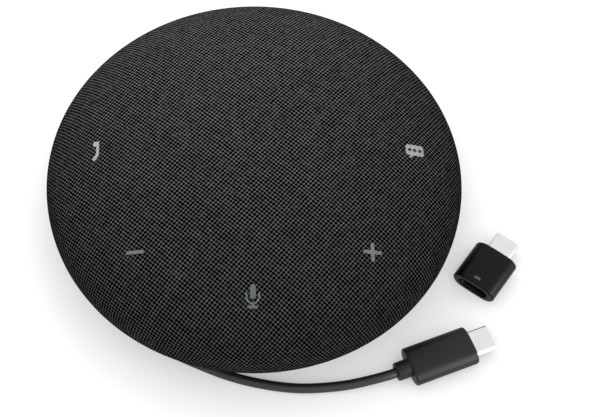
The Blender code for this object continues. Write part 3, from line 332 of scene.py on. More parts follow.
def makeWeaveGroup(spec):
    tree, given, made = newTree(
        "plainWeave",
        "ShaderNodeTree",
        [
            ("Map", vectorSocket, None),
            ("Pitch", floatSocket, 0.001),
            ("Turn", floatSocket, 0.0),
            ("Yarn Width", floatSocket, 0.7),
            ("Crimp", floatSocket, 0.5),
            ("Hole", floatSocket, 0.3),
        ],
        [("Height", floatSocket), ("Cover", floatSocket), ("Crown", floatSocket), ("Slub", floatSocket)],
    )
    inputs = {"Vector": given["Map"], "Angle": given["Turn"]}
    laid = addNode(tree, "ShaderNodeVectorRotate", inputs, rotation_type="Z_AXIS").outputs[0]
    split = addNode(tree, "ShaderNodeSeparateXYZ", {0: laid})
    # a slow wander keeps the yarns from lying ruler straight
    scale, stray = spec["wander"]
    inputs = {"Vector": laid, "Scale": scale, "Detail": 1.0}
    wander = addNode(tree, "ShaderNodeTexNoise", inputs, noise_dimensions="2D")
    drift = addNode(tree, "ShaderNodeSeparateColor", {0: wander.outputs["Color"]})

    def counted(axis):  # yarns counted along one axis
        straight = calc(tree, "DIVIDE", split.outputs[axis], given["Pitch"])
        return calc(tree, "MULTIPLY_ADD", calc(tree, "SUBTRACT", drift.outputs[axis], 0.5), stray, straight)

    def yarn(across, along, sign):
        column = calc(tree, "FLOOR", across)
        inside = calc(tree, "SUBTRACT", calc(tree, "SUBTRACT", across, column), 0.5)
        share = calc(tree, "DIVIDE", inside, calc(tree, "MULTIPLY", given["Yarn Width"], 0.5))
        hump = calc(tree, "SUBTRACT", 1.0, calc(tree, "MULTIPLY", share, share))
        body = calc(tree, "SQRT", calc(tree, "MAXIMUM", hump, 0.0))
        odd = calc(tree, "MULTIPLY_ADD", calc(tree, "PINGPONG", column, 1.0), -2.0, 1.0)
        wave = calc(tree, "SINE", calc(tree, "MULTIPLY", along, math.pi))
        rise = calc(tree, "MULTIPLY", calc(tree, "MULTIPLY", wave, odd), sign)
        lift = calc(tree, "MULTIPLY_ADD", rise, given["Crimp"], calc(tree, "SUBTRACT", 1.0, given["Crimp"]))
        # twisted fibres run slantwise along each yarn
        twistAcross, twistAlong, shows = spec["fibre"]
        slant = calc(tree, "MULTIPLY_ADD", share, twistAcross, calc(tree, "MULTIPLY", along, twistAlong))
        fibre = vary(tree, calc(tree, "SINE", slant), shows, 1.0)
        seed = calc(tree, "MULTIPLY_ADD", sign, 0.37, column)  # warp and weft draw different tones
        tone = addNode(tree, "ShaderNodeTexWhiteNoise", {"W": seed}, noise_dimensions="1D")
        height = calc(tree, "MULTIPLY", calc(tree, "MULTIPLY", body, lift), fibre)
        return height, tone.outputs["Value"]

    u, v = counted(0), counted(1)
    warp, warpTone = yarn(u, v, 1.0)
    weft, weftTone = yarn(v, u, -1.0)
    # the gap between four yarns, a round hole in the middle of each square
    cellU, cellV = calc(tree, "ROUND", u), calc(tree, "ROUND", v)
    fromU, fromV = calc(tree, "SUBTRACT", u, cellU), calc(tree, "SUBTRACT", v, cellV)
    apart = calc(tree, "SQRT", calc(tree, "MULTIPLY_ADD", fromU, fromU, calc(tree, "MULTIPLY", fromV, fromV)))
    cell = addNode(tree, "ShaderNodeCombineXYZ", {0: cellU, 1: cellV})
    odds = addNode(tree, "ShaderNodeTexWhiteNoise", {"Vector": cell.outputs[0]}, noise_dimensions="2D")
    size = calc(tree, "MULTIPLY", given["Hole"], vary(tree, odds.outputs["Value"], spec["holeSpread"]))
    inner, outer = [calc(tree, "MULTIPLY", size, edge) for edge in spec["holeEdge"]]
    inputs = {"Value": apart, "From Min": inner, "From Max": outer}
    cover = addNode(tree, "ShaderNodeMapRange", inputs, interpolation_type="SMOOTHSTEP").outputs[0]
    top = calc(tree, "MAXIMUM", warp, weft)
    onTop = calc(tree, "GREATER_THAN", warp, weft)
    slub = addNode(tree, "ShaderNodeMix", {0: onTop, 2: weftTone, 3: warpTone})
    tree.links.new(calc(tree, "MULTIPLY", top, cover), made["Height"])
    tree.links.new(cover, made["Cover"])
    tree.links.new(top, made["Crown"])
    tree.links.new(slub.outputs[0], made["Slub"])
    return tree


weaveGroup = makeWeaveGroup(weave)


def weaveNode(tree, spec):
    inputs = {"Map": addNode(tree, "ShaderNodeUVMap", uv_map="weaveMap").outputs[0]}
    for name, key in (("Pitch", "pitch"), ("Turn", "turn"), ("Yarn Width", "yarnWidth"),
                      ("Crimp", "crimp"), ("Hole", "hole")):
        inputs[name] = spec[key]
    return addNode(tree, "ShaderNodeGroup", inputs, node_tree=weaveGroup).outputs


def flecked(tree, tone, place, scale, detail, amount):
    return calc(tree, "MULTIPLY", tone, vary(tree, noise(tree, place, scale, detail), amount))


def makeCloth(name, spec):
    material, tree, shader = newMaterial(name, {"Roughness": spec["roughness"], "Specular IOR Level": 0.0})
    cloth = weaveNode(tree, spec)
    place = objectPlace(tree)
    tone = calc(tree, "MULTIPLY_ADD", cloth["Slub"], *spec["slub"])
    for fleck in spec["flecks"]:
        tone = flecked(tree, tone, place, *fleck)
    # painted shade: each yarn darker down its sides, away from its crown
    tone = calc(tree, "MULTIPLY", tone, calc(tree, "POWER", cloth["Crown"], spec["sideShadePower"]))
    yarnToneAndShade = tinted(tree, spec["yarnColour"], tone)
    # painted shade fills the holes where the yarns leave off
    inputs = {0: cloth["Cover"], 6: (*spec["holeShadeColour"], 1.0), 7: yarnToneAndShade}
    mix = addNode(tree, "ShaderNodeMix", inputs, data_type="RGBA")
    tree.links.new(mix.outputs[2], shader.inputs["Base Color"])
    tree.links.new(bumped(tree, cloth["Height"], spec["relief"]), shader.inputs["Normal"])
    return material


# ink: printed over the yarns, with the weave still felt under it
inkSpec = {
    "roughness": 0.7,
    "gloss": 0.12,
    "weaveTone": 0.16,  # how much darker it is between the yarns
    "fleck": (1400.0, 2.0, 0.3),
    "relief": 0.00008,
    "colours": {
        "call": (0.58, 0.58, 0.59),
        "volume_down": (0.30, 0.30, 0.305),
        "mute": (0.235, 0.265, 0.260),
        "volume_up": (0.34, 0.34, 0.345),
        "meeting": (0.56, 0.56, 0.57),
    },
}


def makeInk(key, colour, spec):
    name = "ink" + key.title().replace("_", "")
    constants = {"Roughness": spec["roughness"], "Specular IOR Level": spec["gloss"]}
    material, tree, shader = newMaterial(name, constants)
    cloth = weaveNode(tree, weave)
    tone = vary(tree, cloth["Height"], spec["weaveTone"], 1.0)
    tone = flecked(tree, tone, objectPlace(tree), *spec["fleck"])
    tree.links.new(tinted(tree, colour, tone), shader.inputs["Base Color"])
    tree.links.new(bumped(tree, cloth["Height"], spec["relief"]), shader.inputs["Normal"])
    return material


# moulded plastic and drawn metal; each noise has its scale, detail and roughness
mouldSpec = {
    "grain": (3.0, 0.6),  # its scale comes with the plastic
    "cloud": (95.0, 4.0, 0.55),
    "specks": (900.0, 2.0, 0.7),
    "speckShare": 0.35,
    "spread": 0.12,  # how far the roughness changes
    "toneSwing": 0.5,
}
drawnSpec = {
    "lines": (1.0, 4.0, 0.65),
    "smear": (260.0, 3.0, 0.5),
    "spread": 0.22,
    "toneSwing": 0.10,
    "relief": 0.000004,
}


def newFinishGroup(name, takes):
    gives = [("Height", floatSocket), ("Roughness", floatSocket), ("Tone", floatSocket)]
    takes = [("Place", vectorSocket, None), ("Rough", floatSocket, 0.5)] + takes
    return newTree(name, "ShaderNodeTree", takes, gives)


def giveFinish(tree, given, made, height, swing, spec):
    tree.links.new(height, made["Height"])
    tree.links.new(calc(tree, "MULTIPLY_ADD", swing, spec["spread"], given["Rough"]), made["Roughness"])
    tree.links.new(calc(tree, "MULTIPLY_ADD", swing, spec["toneSwing"], 1.0), made["Tone"])
    return tree


def makeMouldGroup(spec):
    tree, given, made = newFinishGroup("mouldedSkin", [("Grain", floatSocket, 3200.0)])
    grain = noise(tree, given["Place"], given["Grain"], *spec["grain"])
    cloud = noise(tree, given["Place"], *spec["cloud"])
    specks = noise(tree, given["Place"], *spec["specks"])
    clouded = calc(tree, "MULTIPLY", cloud, 1.0 - spec["speckShare"])
    mixed = calc(tree, "MULTIPLY_ADD", specks, spec["speckShare"], clouded)
    return giveFinish(tree, given, made, grain, calc(tree, "SUBTRACT", mixed, 0.5), spec)


def makeDrawnGroup(spec):
    tree, given, made = newFinishGroup("drawnMetal", [("Stretch", vectorSocket, (1.0, 1.0, 1.0))])
    inputs = {0: given["Place"], 1: given["Stretch"]}
    drawn = addNode(tree, "ShaderNodeVectorMath", inputs, operation="MULTIPLY").outputs[0]
    lines = noise(tree, drawn, *spec["lines"])
    smear = noise(tree, given["Place"], *spec["smear"])
    swing = calc(tree, "SUBTRACT", calc(tree, "ADD", lines, smear), 1.0)
    return giveFinish(tree, given, made, lines, swing, spec)


mouldGroup = makeMouldGroup(mouldSpec)
drawnGroup = makeDrawnGroup(drawnSpec)


def makeFinish(name, constants, group, inputs, colour, relief):
    material, tree, shader = newMaterial(name, constants)
    skin = addNode(tree, "ShaderNodeGroup", {"Place": objectPlace(tree), **inputs}, node_tree=group).outputs
    tree.links.new(tinted(tree, colour, skin["Tone"]), shader.inputs["Base Color"])
    tree.links.new(skin["Roughness"], shader.inputs["Roughness"])
    tree.links.new(bumped(tree, skin["Height"], relief), shader.inputs["Normal"])
    return material


def makePlastic(name, colour, rough, grain, relief, gloss=0.5):
    inputs = {"Grain": grain, "Rough": rough}
    return makeFinish(name, {"Specular IOR Level": gloss}, mouldGroup, inputs, colour, relief)


def makeMetal(name, colour, rough, stretch):
    inputs = {"Stretch": stretch, "Rough": rough}
    return makeFinish(name, {"Metallic": 1.0}, drawnGroup, inputs, colour, drawnSpec["relief"])


plastics = {  # colour, roughness, grain, relief, and the gloss where it isn't the usual one
    "plugBlack": ((0.026, 0.026, 0.027), 0.46, 5200.0, 0.000012, 0.24),
    "adapterBlack": ((0.0034, 0.0034, 0.0050), 0.36, 5200.0, 0.000008, 0.17),
    "housingBlack": ((0.014, 0.014, 0.015), 0.52, 2600.0, 0.000025),
    "keyGrey": ((0.055, 0.055, 0.057), 0.55, 2600.0, 0.00002),
    "padRubber": ((0.016, 0.016, 0.016), 0.82, 1800.0, 0.00005),
    "jacketBlack": ((0.022, 0.022, 0.023), 0.42, 2400.0, 0.000015),
    "resinBlack": ((0.016, 0.016, 0.018), 0.48, 4200.0, 0.000008),
    "nylonIvory": ((0.66, 0.63, 0.54), 0.45, 3000.0, 0.00001),
    "boardGreen": ((0.010, 0.060, 0.034), 0.33, 1400.0, 0.00001),
    "conePulp": ((0.026, 0.026, 0.028), 0.85, 1500.0, 0.00008),
    "ferriteGrey": ((0.050, 0.050, 0.055), 0.62, 2200.0, 0.00003),
    "windowGrey": ((0.11, 0.11, 0.115), 0.5, 3000.0, 0.000004),
}
metals = {  # colour, roughness, and how fine its lines are along each axis
    "screwSteel": ((0.60, 0.60, 0.61), 0.34, (900.0, 900.0, 900.0)),
    "tipMetal": ((0.76, 0.76, 0.765), 0.30, (700.0, 700.0, 90.0)),
    # painted shade: the socket's liner metal is near-black for the dark inside of the mouth
    "socketShadeMetal": ((0.026, 0.028, 0.028), 0.42, (500.0, 500.0, 90.0)),
    "contactGold": ((0.80, 0.58, 0.26), 0.28, (900.0, 900.0, 200.0)),
    "coilCopper": ((0.72, 0.36, 0.18), 0.32, (60.0, 60.0, 9000.0)),
}
finish = {name: makePlastic(name, *row) for name, row in plastics.items()}
finish.update({name: makeMetal(name, *row) for name, row in metals.items()})
clothBlack = makeCloth("clothBlack", weave)
inks = {key: makeInk(key, colour, inkSpec) for key, colour in inkSpec["colours"].items()}
print("materials made:", len(finish) + len(inks) + 1)


# cord: out of the grommet, round the spool in two layers, then along the table to the plug
cordSpec = {
    "diameter": 0.0030,
    "gap": 0.0003,
    "hubRadius": 0.0480,
    "hubWall": 0.0022,
    "hubSides": 24,  # the winding clears the corners of a hub with so many sides
    "grommetAzimuth": -35.0,
    "grommetZ": 0.0073,
    "grommetAngle": math.radians(33.0),
    "noseReach": 0.0026,
    "turnedBy": math.radians(675.0),
    "settle": 0.20,
    "climb": 0.25,
    "upperLayer": 0.0081,
    "layerStep": 0.0036,
    "layerChange": (0.9 * math.pi, 0.7 * math.pi),  # where it begins, and over what angle
    "columnStep": 0.0038,
    "columnChanges": ((1.5 * math.pi, 0.5 * math.pi), (3.4 * math.pi, 0.5 * math.pi)),
    "pointsPerLoop": 96,
    "spacing": 0.0030,
    "roundness": 5,
    "leadRoute": (  # azimuth, reach past the rim, height over the lie on the table
        (-64.02, -0.00668, 0.00300),
        (-54.00, -0.00630, 0.00255),
        (-44.00, -0.00615, 0.00150),
        (-34.00, -0.00612, 0.00060),
        (-27.00, -0.00612, 0.00018),
        (-20.42, -0.00583, 0.00005),
        (-14.35, -0.00512, 0.00005),
        (-8.24, -0.00392, 0.00005),
        (-0.85, -0.00228, 0.00005),
        (7.38, -0.00012, 0.00005),
        (14.50, 0.00186, 0.00005),
        (23.80, 0.00464, 0.00035),
    ),
}

plugSpec = {
    "rear": (38.34, 0.00982),  # azimuth and reach past the rim
    "heading": math.radians(20.9),
    "length": 0.0202,
    "width": 0.0120,
    "thick": 0.0065,
    "corner": 0.0029,
    "crown": 0.24,
    "edge": 0.0006,
    "collarRadius": 0.0028,
    "collarLength": 0.0042,
    "collarPlay": 0.00008,  # round the cable
    "collarGrip": 0.0012,  # length of cable inside it
    "collarSunk": 0.0006,  # into the plug's body
    "collarFlare": 0.00004,
    "collarEdge": ((-0.0004, 0.0), (-0.00012, 0.00010), (0.0, 0.0004)),  # from its rear corner
    "collarSteps": 40,
}


def plugFrame(spec):  # z along the plug from its rear end, y up
    azimuth, reach = spec["rear"]
    way = Vector((math.cos(spec["heading"]), math.sin(spec["heading"]), 0.0))
    up = Vector((0.0, 0.0, 1.0))
    place = Matrix((up.cross(way), up, way)).transposed().to_4x4()
    place.translation = around(rimRadius + reach, azimuth, spec["thick"] / 2)
    return place


def windingPath(spec):
    radial = around(1.0, spec["grommetAzimuth"])
    along = around(1.0, spec["grommetAzimuth"] + 90.0)
    way = along * math.cos(spec["grommetAngle"]) + radial * math.sin(spec["grommetAngle"])
    crossing = radial * (spec["hubRadius"] - spec["hubWall"] / 2) + Vector((0.0, 0.0, spec["grommetZ"]))
    nose = spec["noseReach"] + spec["gap"]
    first = crossing + way * nose
    leave = crossing + way * (nose + spec["diameter"])
    startRadius = leave.to_2d().length
    startAngle = math.atan2(leave.y, leave.x)
    outward = way.to_2d().dot(leave.to_2d() / startRadius)
    slope = outward / math.sqrt(1.0 - outward * outward)
    woundRadius = spec["hubRadius"] + spec["gap"] + spec["diameter"] / 2
    woundRadius /= math.cos(math.pi / spec["hubSides"])
    offset = startRadius - woundRadius
    push = startRadius * slope + offset / spec["settle"]
    points = [first, (first + leave) / 2, leave]
    count = math.ceil(spec["turnedBy"] / math.tau * spec["pointsPerLoop"])
    for i in range(1, count + 1):
        t = spec["turnedBy"] * i / count
        radius = woundRadius + (offset + push * t) * math.exp(-t / spec["settle"])
        for begin, length in spec["columnChanges"]:
            radius += spec["columnStep"] * smoothStep((t - begin) / length)
        below = spec["grommetZ"] - spec["upperLayer"]
        z = spec["upperLayer"] + below * math.exp(-((t / spec["climb"]) ** 2))
        begin, length = spec["layerChange"]
        z -= spec["layerStep"] * smoothStep((t - begin) / length)
        points.append(Vector((radius * math.cos(startAngle + t), radius * math.sin(startAngle + t), z)))
    return points


def smoothRoute(points, spacing):
    ends = [points[0] * 2 - points[1]] + points + [points[-1] * 2 - points[-2]]
    fine = []
    for a, b, c, d in zip(ends, ends[1:], ends[2:], ends[3:]):
        for t in np.arange(0.0, 1.0, 0.05):
            bend = (2 * a - 5 * b + 4 * c - d) * t**2 + (3 * b - a - 3 * c + d) * t**3
            fine.append(b + ((c - a) * t + bend) / 2)
    fine.append(points[-1])
    steps = [0.0] + [(b - a).length for a, b in zip(fine, fine[1:])]
    along = np.cumsum(steps)
    places = np.linspace(0.0, along[-1], max(2, round(along[-1] / spacing)) + 1)
    axes = [np.interp(places, along, [p[k] for p in fine]) for k in range(3)]
    return [Vector(p) for p in zip(*axes)]


def makeCord(spec, plug):
    wound = windingPath(spec)
    way = (wound[-1] - wound[-2]).normalized()
    place = plugFrame(plug)
    grip = plug["collarGrip"]
    into = -plug["collarLength"] + grip
    stop = place @ Vector((0.0, 0.0, into))
    before = place @ Vector((0.0, 0.0, into - grip - spec["gap"] - spec["diameter"]))
    lie = spec["diameter"] / 2
    rest = [around(rimRadius + reach, azimuth, lie + height) for azimuth, reach, height in spec["leadRoute"]]
    route = [wound[-1], wound[-1] + way * spec["diameter"]] + rest + [before, stop]
    path = wound + smoothRoute(route, spec["spacing"])[1:]
    curve = bpy.data.curves.new("cable", "CURVE")
    curve.dimensions = "3D"
    curve.bevel_depth = spec["diameter"] / 2
    curve.bevel_resolution = spec["roundness"]
    curve.use_fill_caps = True
    spline = curve.splines.new("POLY")
    spline.points.add(len(path) - 1)
    for point, p in zip(spline.points, path):
        point.co = (*p, 1.0)
    spline.use_smooth = True
    curve.materials.append(finish["jacketBlack"])
    length = sum((b - a).length for a, b in zip(path, path[1:]))
    print("cable length", round(length, 4), "points", len(path))
    return linked("cable", curve), path[0], length


cable, cableExit, cableLength = makeCord(cordSpec, plugSpec)
settle(cable, "puck", "jacket", "cable_winding", "cable_lead")


# floor and light
studio = {
    "floorHalf": 3.0,
    "floorColour": 0.50,  # what the object gets back from the table
    "floorShade": 0.18,  # share of the lamps' light that shows on its own plain white
    "floorRoughness": 0.9,
    "contact": (0.022, 0.66),  # reach and strength of the shade close to what stands on the floor
    "sky": 0.18,
    "lamps": {  # place, width, watts, and whether it is for the light or for the shine
        "backKey": ((-0.012, 0.10, 0.17), 0.12, 0.25, "light"),
        "leftFill": ((-0.30, -0.95, 0.75), 0.60, 3.2, "light"),
        "rightFill": ((0.70, -0.95, 0.55), 0.60, 2.0, "light"),
        "sideShine": ((0.91, -0.61, 0.48), 0.90, 15.5, "shine"),
    },
}
plainWhite = (1.0, 1.0, 1.0, 1.0)


def seenRays(tree):  # straight, mirrored or through glass
    path = addNode(tree, "ShaderNodeLightPath").outputs
    mirrored = calc(tree, "MAXIMUM", path["Is Glossy Ray"], path["Is Transmission Ray"])
    return calc(tree, "MAXIMUM", path["Is Camera Ray"], mirrored)


def makeSky(spec):
    world = bpy.data.worlds.new("studioAir")
    world.use_nodes = True
    tree = world.node_tree
    strength = addNode(tree, "ShaderNodeMix", {0: seenRays(tree), 2: spec["sky"], 3: 1.0})
    tree.links.new(strength.outputs[0], tree.nodes["Background"].inputs["Strength"])
    tree.nodes["Background"].inputs["Color"].default_value = plainWhite
    scene.world = world


def makeFloor(spec):
    constants = {"Roughness": spec["floorRoughness"], "Specular IOR Level": 0.0, "Emission Color": plainWhite}
    material, tree, shader = newMaterial("floorPaper", constants)
    seen = seenRays(tree)
    shade = addNode(tree, "ShaderNodeMix", {0: seen, 2: spec["floorColour"], 3: spec["floorShade"]})
    tree.links.new(shade.outputs[0], shader.inputs["Base Color"])
    reach, strength = spec["contact"]
    clear = addNode(tree, "ShaderNodeAmbientOcclusion", {"Distance": reach}).outputs["AO"]
    white = vary(tree, clear, strength, 1.0)
    tree.links.new(calc(tree, "MULTIPLY", seen, white), shader.inputs["Emission Strength"])
    half = spec["floorHalf"]
    corners = [(-half, -half, 0.0), (half, -half, 0.0), (half, half, 0.0), (-half, half, 0.0)]
    addPiece("studioFloor", corners, [(0, 1, 2, 3)], material)


def makeLamps(spec):
    for name, (place, width, watts, use) in spec["lamps"].items():
        data = bpy.data.lights.new(name, "AREA")
        data.shape = "DISK"
        data.size = width
        data.energy = watts
        lamp = linked(name, data)
        lamp.visible_camera = False
        lamp.visible_diffuse = use == "light"
        lamp.visible_glossy = use == "shine"
        lamp.location = place
        lamp.rotation_euler = facing(place, (0.0, 0.0, 0.0))


makeSky(studio)
makeFloor(studio)
makeLamps(studio)
print("studio set:", len(studio["lamps"]), "lamps")


# cloth skin over the dome, tucked under the rim
skinSpec = {
    "rimZ": 0.0155,
    "domeHeight": 0.02035,
    "domePower": 2.4,
    "tuckReach": 0.0090,
    "tuckDrop": 0.0054,
    "tuckPower": 2.7,
    "domeShare": 0.86,  # share of the rows above the rim
    "stepsRound": 256,
    "stepsDown": 84,
    "profilePoints": 600,
    "rimShare": 0.9,  # share of the rim's radius past which the height tells more than the radius
    "weld": 0.000002,
    "thick": 0.0006,
    "dipDepth": 0.00045,
    "dipReach": 0.022,
}

keySpec = {
    "circle": 0.0478,
    "azimuths": {"call": -90.0, "volume_down": -45.0, "mute": 0.0, "volume_up": 45.0, "meeting": 90.0},
}


def quarter(share, power):  # a quarter of a superellipse, from (1, 0) to (0, 1)
    turn = math.pi / 2 * share
    return max(math.cos(turn), 0.0) ** (2 / power), max(math.sin(turn), 0.0) ** (2 / power)


def skinProfile(spec):  # radius, height and length from the crown, as arrays
    rows, dome = [], spec["domeShare"]
    for i in range(spec["profilePoints"] + 1):
        t = i / spec["profilePoints"]
        if t <= dome:
            across, up = quarter(1.0 - t / dome, spec["domePower"])
            rows.append((rimRadius * across, spec["rimZ"] + spec["domeHeight"] * up))
        else:
            across, down = quarter((t - dome) / (1.0 - dome), spec["tuckPower"])
            inward = spec["tuckReach"] * (1.0 - across)
            rows.append((rimRadius - inward, spec["rimZ"] - spec["tuckDrop"] * down))
    rows = np.array(rows)
    run = np.concatenate([[0.0], np.cumsum(np.linalg.norm(np.diff(rows, axis=0), axis=1))])
    return rows[:, 0], rows[:, 1], run


skinR, skinZ, skinRun = skinProfile(skinSpec)
domeRows = int(skinSpec["profilePoints"] * skinSpec["domeShare"]) + 1


def skinHeight(radius):  # height of the dome's skin at this radius
    return float(np.interp(radius, skinR[:domeRows], skinZ[:domeRows]))


def skinNormal(point):
    spec = skinSpec
    radius = math.hypot(point[0], point[1])
    if radius < 1e-7:
        return Vector((0.0, 0.0, 1.0))
    over = point[2] - spec["rimZ"]
    if over >= -1e-7:
        p, reach, rise = spec["domePower"] - 1, rimRadius, spec["domeHeight"]
        out = (radius / reach) ** p / reach
        up = (max(over, 0.0) / rise) ** p / rise
    else:
        p, reach, drop = spec["tuckPower"] - 1, spec["tuckReach"], spec["tuckDrop"]
        out = (max(radius - rimRadius + reach, 0.0) / reach) ** p / reach
        up = -((max(-over, 0.0) / drop) ** p) / drop
    return Vector((out * point[0] / radius, out * point[1] / radius, up)).normalized()


def skinMap(point):  # cloth laid flat: length from the crown along the skin, in metres
    radius = math.hypot(point[0], point[1])
    if radius < 1e-9:
        return 0.0, 0.0
    if radius > skinSpec["rimShare"] * rimRadius or point[2] < skinSpec["rimZ"] - 1e-6:
        run = float(np.interp(-point[2], -skinZ, skinRun))
    else:
        run = float(np.interp(radius, skinR[:domeRows], skinRun[:domeRows]))
    return run * point[0] / radius, run * point[1] / radius


skinInputs = {  # the tree's inputs, and where their values are in skinSpec
    "Rim Height": "rimZ",
    "Dome Height": "domeHeight",
    "Dome Power": "domePower",
    "Tuck Reach": "tuckReach",
    "Tuck Drop": "tuckDrop",
    "Tuck Power": "tuckPower",
    "Dome Share": "domeShare",
    "Weld": "weld",
    "Steps Round": "stepsRound",
    "Steps Down": "stepsDown",
}


def makeSkinTree(material):  # a grid bent into the dome and its tuck
    takes = [("Rim Radius", floatSocket)]
    takes += [(name, intSocket if name.startswith("Steps") else floatSocket) for name in skinInputs]
    tree, given, made = newGeometryTree("clothSkin", takes)
    grid = addNode(tree, "GeometryNodeMeshGrid", {
        "Size X": 1.0,
        "Size Y": 1.0,
        "Vertices X": calc(tree, "ADD", given["Steps Round"], 1.0),
        "Vertices Y": calc(tree, "ADD", given["Steps Down"], 1.0),
    })
    spot = addNode(tree, "ShaderNodeSeparateXYZ", {0: addNode(tree, "GeometryNodeInputPosition").outputs[0]})
    turn = calc(tree, "MULTIPLY", calc(tree, "ADD", spot.outputs[0], 0.5), math.tau)
    t = calc(tree, "ADD", spot.outputs[1], 0.5)

    def bend(share, power):  # the same quarter as above, in nodes
        angle = calc(tree, "MULTIPLY", share, math.pi / 2)
        power = calc(tree, "DIVIDE", 2.0, power)
        return [
            calc(tree, "POWER", calc(tree, "MAXIMUM", calc(tree, wave, angle), 0.0), power)
            for wave in ("COSINE", "SINE")
        ]

    above = calc(tree, "SUBTRACT", 1.0, calc(tree, "DIVIDE", t, given["Dome Share"]))
    across, up = bend(above, given["Dome Power"])
    domeR = calc(tree, "MULTIPLY", given["Rim Radius"], across)
    domeZ = calc(tree, "MULTIPLY_ADD", given["Dome Height"], up, given["Rim Height"])
    past = calc(tree, "SUBTRACT", t, given["Dome Share"])
    below = calc(tree, "DIVIDE", past, calc(tree, "SUBTRACT", 1.0, given["Dome Share"]))
    across, down = bend(below, given["Tuck Power"])
    inward = calc(tree, "MULTIPLY", given["Tuck Reach"], calc(tree, "SUBTRACT", 1.0, across))
    tuckR = calc(tree, "SUBTRACT", given["Rim Radius"], inward)
    tuckZ = calc(tree, "SUBTRACT", given["Rim Height"], calc(tree, "MULTIPLY", given["Tuck Drop"], down))
    under = calc(tree, "GREATER_THAN", t, given["Dome Share"])
    radius = addNode(tree, "ShaderNodeMix", {0: under, 2: domeR, 3: tuckR}).outputs[0]
    height = addNode(tree, "ShaderNodeMix", {0: under, 2: domeZ, 3: tuckZ}).outputs[0]
    place = addNode(tree, "ShaderNodeCombineXYZ", {
        0: calc(tree, "MULTIPLY", radius, calc(tree, "COSINE", turn)),
        1: calc(tree, "MULTIPLY", radius, calc(tree, "SINE", turn)),
        2: height,
    })
    inputs = {"Geometry": grid.outputs[0], "Position": place.outputs[0]}
    bent = addNode(tree, "GeometryNodeSetPosition", inputs)
    inputs = {"Geometry": bent.outputs[0], "Distance": given["Weld"]}
    paintTree(tree, made, addNode(tree, "GeometryNodeMergeByDistance", inputs).outputs[0], material)
    return tree


# outer faces, the same faces inside, and a wall round every open edge
def thickSkin(name, polygons, material):
    index, points, outer = {}, [], []
    for polygon in polygons:
        row = []
        for p in polygon:
            key = (round(p[0], 7), round(p[1], 7), round(p[2], 7))
            if key not in index:
                index[key] = len(points)
                points.append(Vector(p))
            row.append(index[key])
        outer.append(tuple(row))
    count = len(points)
    normals = [skinNormal(p) for p in points]
    inner = [p - n * skinSpec["thick"] for p, n in zip(points, normals)]
    edges = dict.fromkeys(pair for row in outer for pair in zip(row, row[1:] + row[:1]))
    walls = [(b, a, a + count, b + count) for a, b in edges if (b, a) not in edges]
    faces = outer + [tuple(i + count for i in reversed(row)) for row in outer] + walls
    mesh = bpy.data.meshes.new(name)
    mesh.from_pydata([tuple(p) for p in points + inner], [], faces)
    mesh.shade_smooth()
    layer = mesh.uv_layers.new(name="weaveMap")
    flat = [skinMap(p) for p in points] * 2
    custom = []
    for polygon in mesh.polygons:
        for loop in polygon.loop_indices:
            vertex = mesh.loops[loop].vertex_index
            layer.data[loop].uv = flat[vertex]
            if polygon.index >= 2 * len(outer):
                custom.append(polygon.normal)
            else:
                custom.append(normals[vertex] if vertex < count else -normals[vertex - count])
    mesh.normals_split_custom_set(custom)
    mesh.materials.append(material)
    return linked(name, mesh)


def makeCover(spec, keys):
    values = {name: spec[key] for name, key in skinInputs.items()}
    mesh = grown("clothSkin", makeSkinTree(clothBlack), {"Rim Radius": rimRadius, **values})
    bm = bmesh.new()
    bm.from_mesh(mesh)
    bpy.data.meshes.remove(mesh)
    bmesh.ops.recalc_face_normals(bm, faces=bm.faces)
    top = max(bm.faces, key=lambda f: f.calc_center_median().z)
    if top.normal.z < 0.0:
        bmesh.ops.reverse_faces(bm, faces=bm.faces)
    dips = {}
    for key, azimuth in keys["azimuths"].items():
        middle = around(keys["circle"], azimuth, skinHeight(keys["circle"]))
        normal = skinNormal(middle)
        edge = middle - normal * spec["dipDepth"]
        near = [f for f in bm.faces if (f.calc_center_median() - middle).length < spec["dipReach"]]
        geometry = list(dict.fromkeys(v for f in near for v in f.verts))
        geometry += list(dict.fromkeys(e for f in near for e in f.edges)) + near
        bmesh.ops.bisect_plane(bm, geom=geometry, dist=1e-8, plane_co=edge, plane_no=normal)
        dips[key] = (edge, middle, normal)
    groups = {key: [] for key in dips}
    rest = []
    for face in bm.faces:
        centre = face.calc_center_median()
        polygon = [tuple(v.co) for v in face.verts]
        for key, (edge, middle, normal) in dips.items():
            if (centre - edge).dot(normal) > 0.0 and (centre - middle).length < spec["dipReach"]:
                groups[key].append(polygon)
                break
        else:
            rest.append(polygon)
    bm.free()
    cover = thickSkin("cloth_cover", rest, clothBlack)
    patches = {key: thickSkin("cloth_over_" + key, polygons, clothBlack) for key, polygons in groups.items()}
    return cover, patches, dips


cover, patches, dips = makeCover(skinSpec, keySpec)
settle(cover, "puck", "cloth", "fabric_cover")
for key, patch in patches.items():
    edge, middle, normal = dips[key]
    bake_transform(patch, "puck", "key_" + key + "_body", start=tuple(edge), end=tuple(middle))


# signs printed on the cloth over each key; their distances are millimetres from the key's centre
markSpec = {
    "cell": 0.09,
    "lift": 0.00012,
    "sunk": 0.00030,
    "ragged": 0.05,  # how far the edge follows the weave
    "reach": 4.4,
}


def bar(x, y, ax, ay, bx, by, half):  # how far a point is from a round-ended stroke
    along = ((x - ax) * (bx - ax) + (y - ay) * (by - ay)) / max((bx - ax) ** 2 + (by - ay) ** 2, 1e-9)
    along = min(max(along, 0.0), 1.0)
    return math.hypot(x - ax - along * (bx - ax), y - ay - along * (by - ay)) - half


def stroke(x, y, points, half):
    return min(bar(x, y, *a, *b, half) for a, b in zip(points, points[1:]))


def block(x, y, cx, cy, halfX, halfY, soft):
    dx, dy = abs(x - cx) - halfX + soft, abs(y - cy) - halfY + soft
    return math.hypot(max(dx, 0.0), max(dy, 0.0)) + min(max(dx, dy), 0.0) - soft


